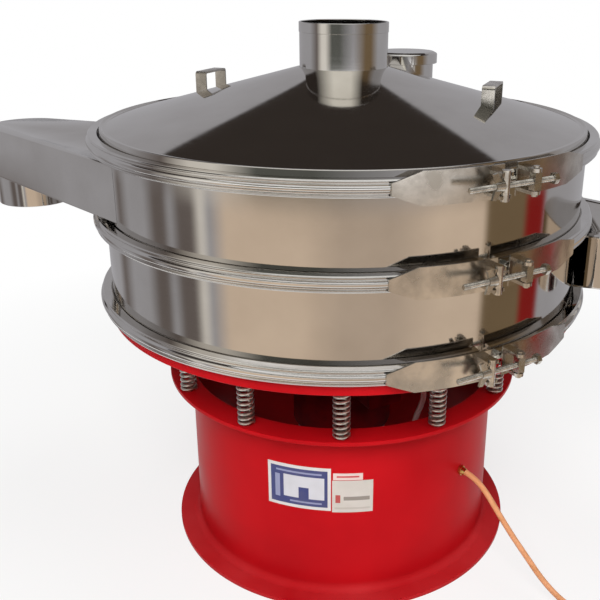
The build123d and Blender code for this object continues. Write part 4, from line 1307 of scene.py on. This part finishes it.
# %% Bright strip, dark top and window
DARK_TOP = "#2d2825"
WINDOW = "#e4e2da"
TOP_SLOPES = ((0.04, 0.11, 1.92, 1.79), (0.4, 0.6, 0.0, 0.2))
TOP_FADE = (-0.015, 0.015, 0.0, 1.0)
STEEL_REFLECTANCE = 0.62


def patch(edges):
    """Product of slopes, each (value, start, end, low, high): 1 inside all the edges and 0 outside."""
    share = 1.0
    for edge in edges:
        slope = add(hall_tree, "MapRange", edge).outputs["Result"]
        share = add(hall_tree, "Math", [slope, share], operation="MULTIPLY").outputs["Value"]
    return share


lit_strip = patch((
    (hall_height, 0.72, 0.75, 0.0, 1.0), (hall_height, 0.88, 0.91, 1.0, 0.0),
    (bearing, 0.34, 0.4, 0.0, 1.0), (bearing, 0.58, 0.64, 1.0, 0.0),
))
front_window = patch((
    (hall_height, 1.7, 1.8, 0.0, 1.0), (hall_height, 2.4, 2.5, 1.0, 0.0),
    (bearing, 0.26, 0.42, 0.0, 1.0), (bearing, 0.56, 0.66, 1.0, 0.0),
))
top_edge = 0.0
for slope in TOP_SLOPES:
    part = add(hall_tree, "MapRange", [bearing, *slope]).outputs["Result"]
    top_edge = add(hall_tree, "Math", [part, top_edge], operation="ADD").outputs["Value"]
over_edge = add(hall_tree, "Math", [hall_height, top_edge], operation="SUBTRACT").outputs["Value"]
dark_share = add(hall_tree, "MapRange", [over_edge, *TOP_FADE]).outputs["Result"]
hall_tone = walls.outputs["Color"]
for share, colour in ((lit_strip, WHITE), (dark_share, linear(DARK_TOP)), (front_window, linear(WINDOW))):
    hall_tone = add(hall_tree, "MixRGB", [share, hall_tone, colour]).outputs["Color"]
hall_glow = add(hall_tree, "Emission", {"Color": hall_tone, "Strength": 1 / STEEL_REFLECTANCE})
hall_tree.links.new(hall_glow.outputs["Emission"], hall_tree.nodes["Material Output"].inputs["Surface"])
hall_mesh.materials.append(hall_paint)
print("screen glows at", round(1 / STEEL_REFLECTANCE, 2))


# %% [markdown]
# ## Lamps
# Three wide discs give soft light: the key from the front, a weak fill from the right, and one from above
# that also draws the shadow under the drum. They are hidden from reflections, which see the screen instead.
# Each is given by its place and width in metres and its power in watts.

# %% Lamps
LAMP_AIM = Vector((0, 0, 0.6))
LAMPS = {
    "key_lamp": ((-0.3, -2.5, 2.5), 1.6, 84.0),
    "fill_lamp": ((1.9, -1.4, 2.2), 1.4, 14.0),
    "top_lamp": ((0.2, 0.4, 3.4), 1.8, 40.0),
}
for name, (place, size, power) in LAMPS.items():
    lamp_data = bpy.data.lights.new(name, "AREA")
    lamp_data.shape = "DISK"
    lamp_data.size = size
    lamp_data.energy = power
    lamp = bpy.data.objects.new(name, lamp_data)
    aim = (LAMP_AIM - Vector(place)).to_track_quat("-Z", "Y")
    lamp.matrix_world = Matrix.Translation(place) @ aim.to_matrix().to_4x4()
    bpy.context.scene.collection.objects.link(lamp)
    lamp.visible_glossy = False
    print(name, power, "W")
bpy.context.scene.view_settings.view_transform = "Standard"
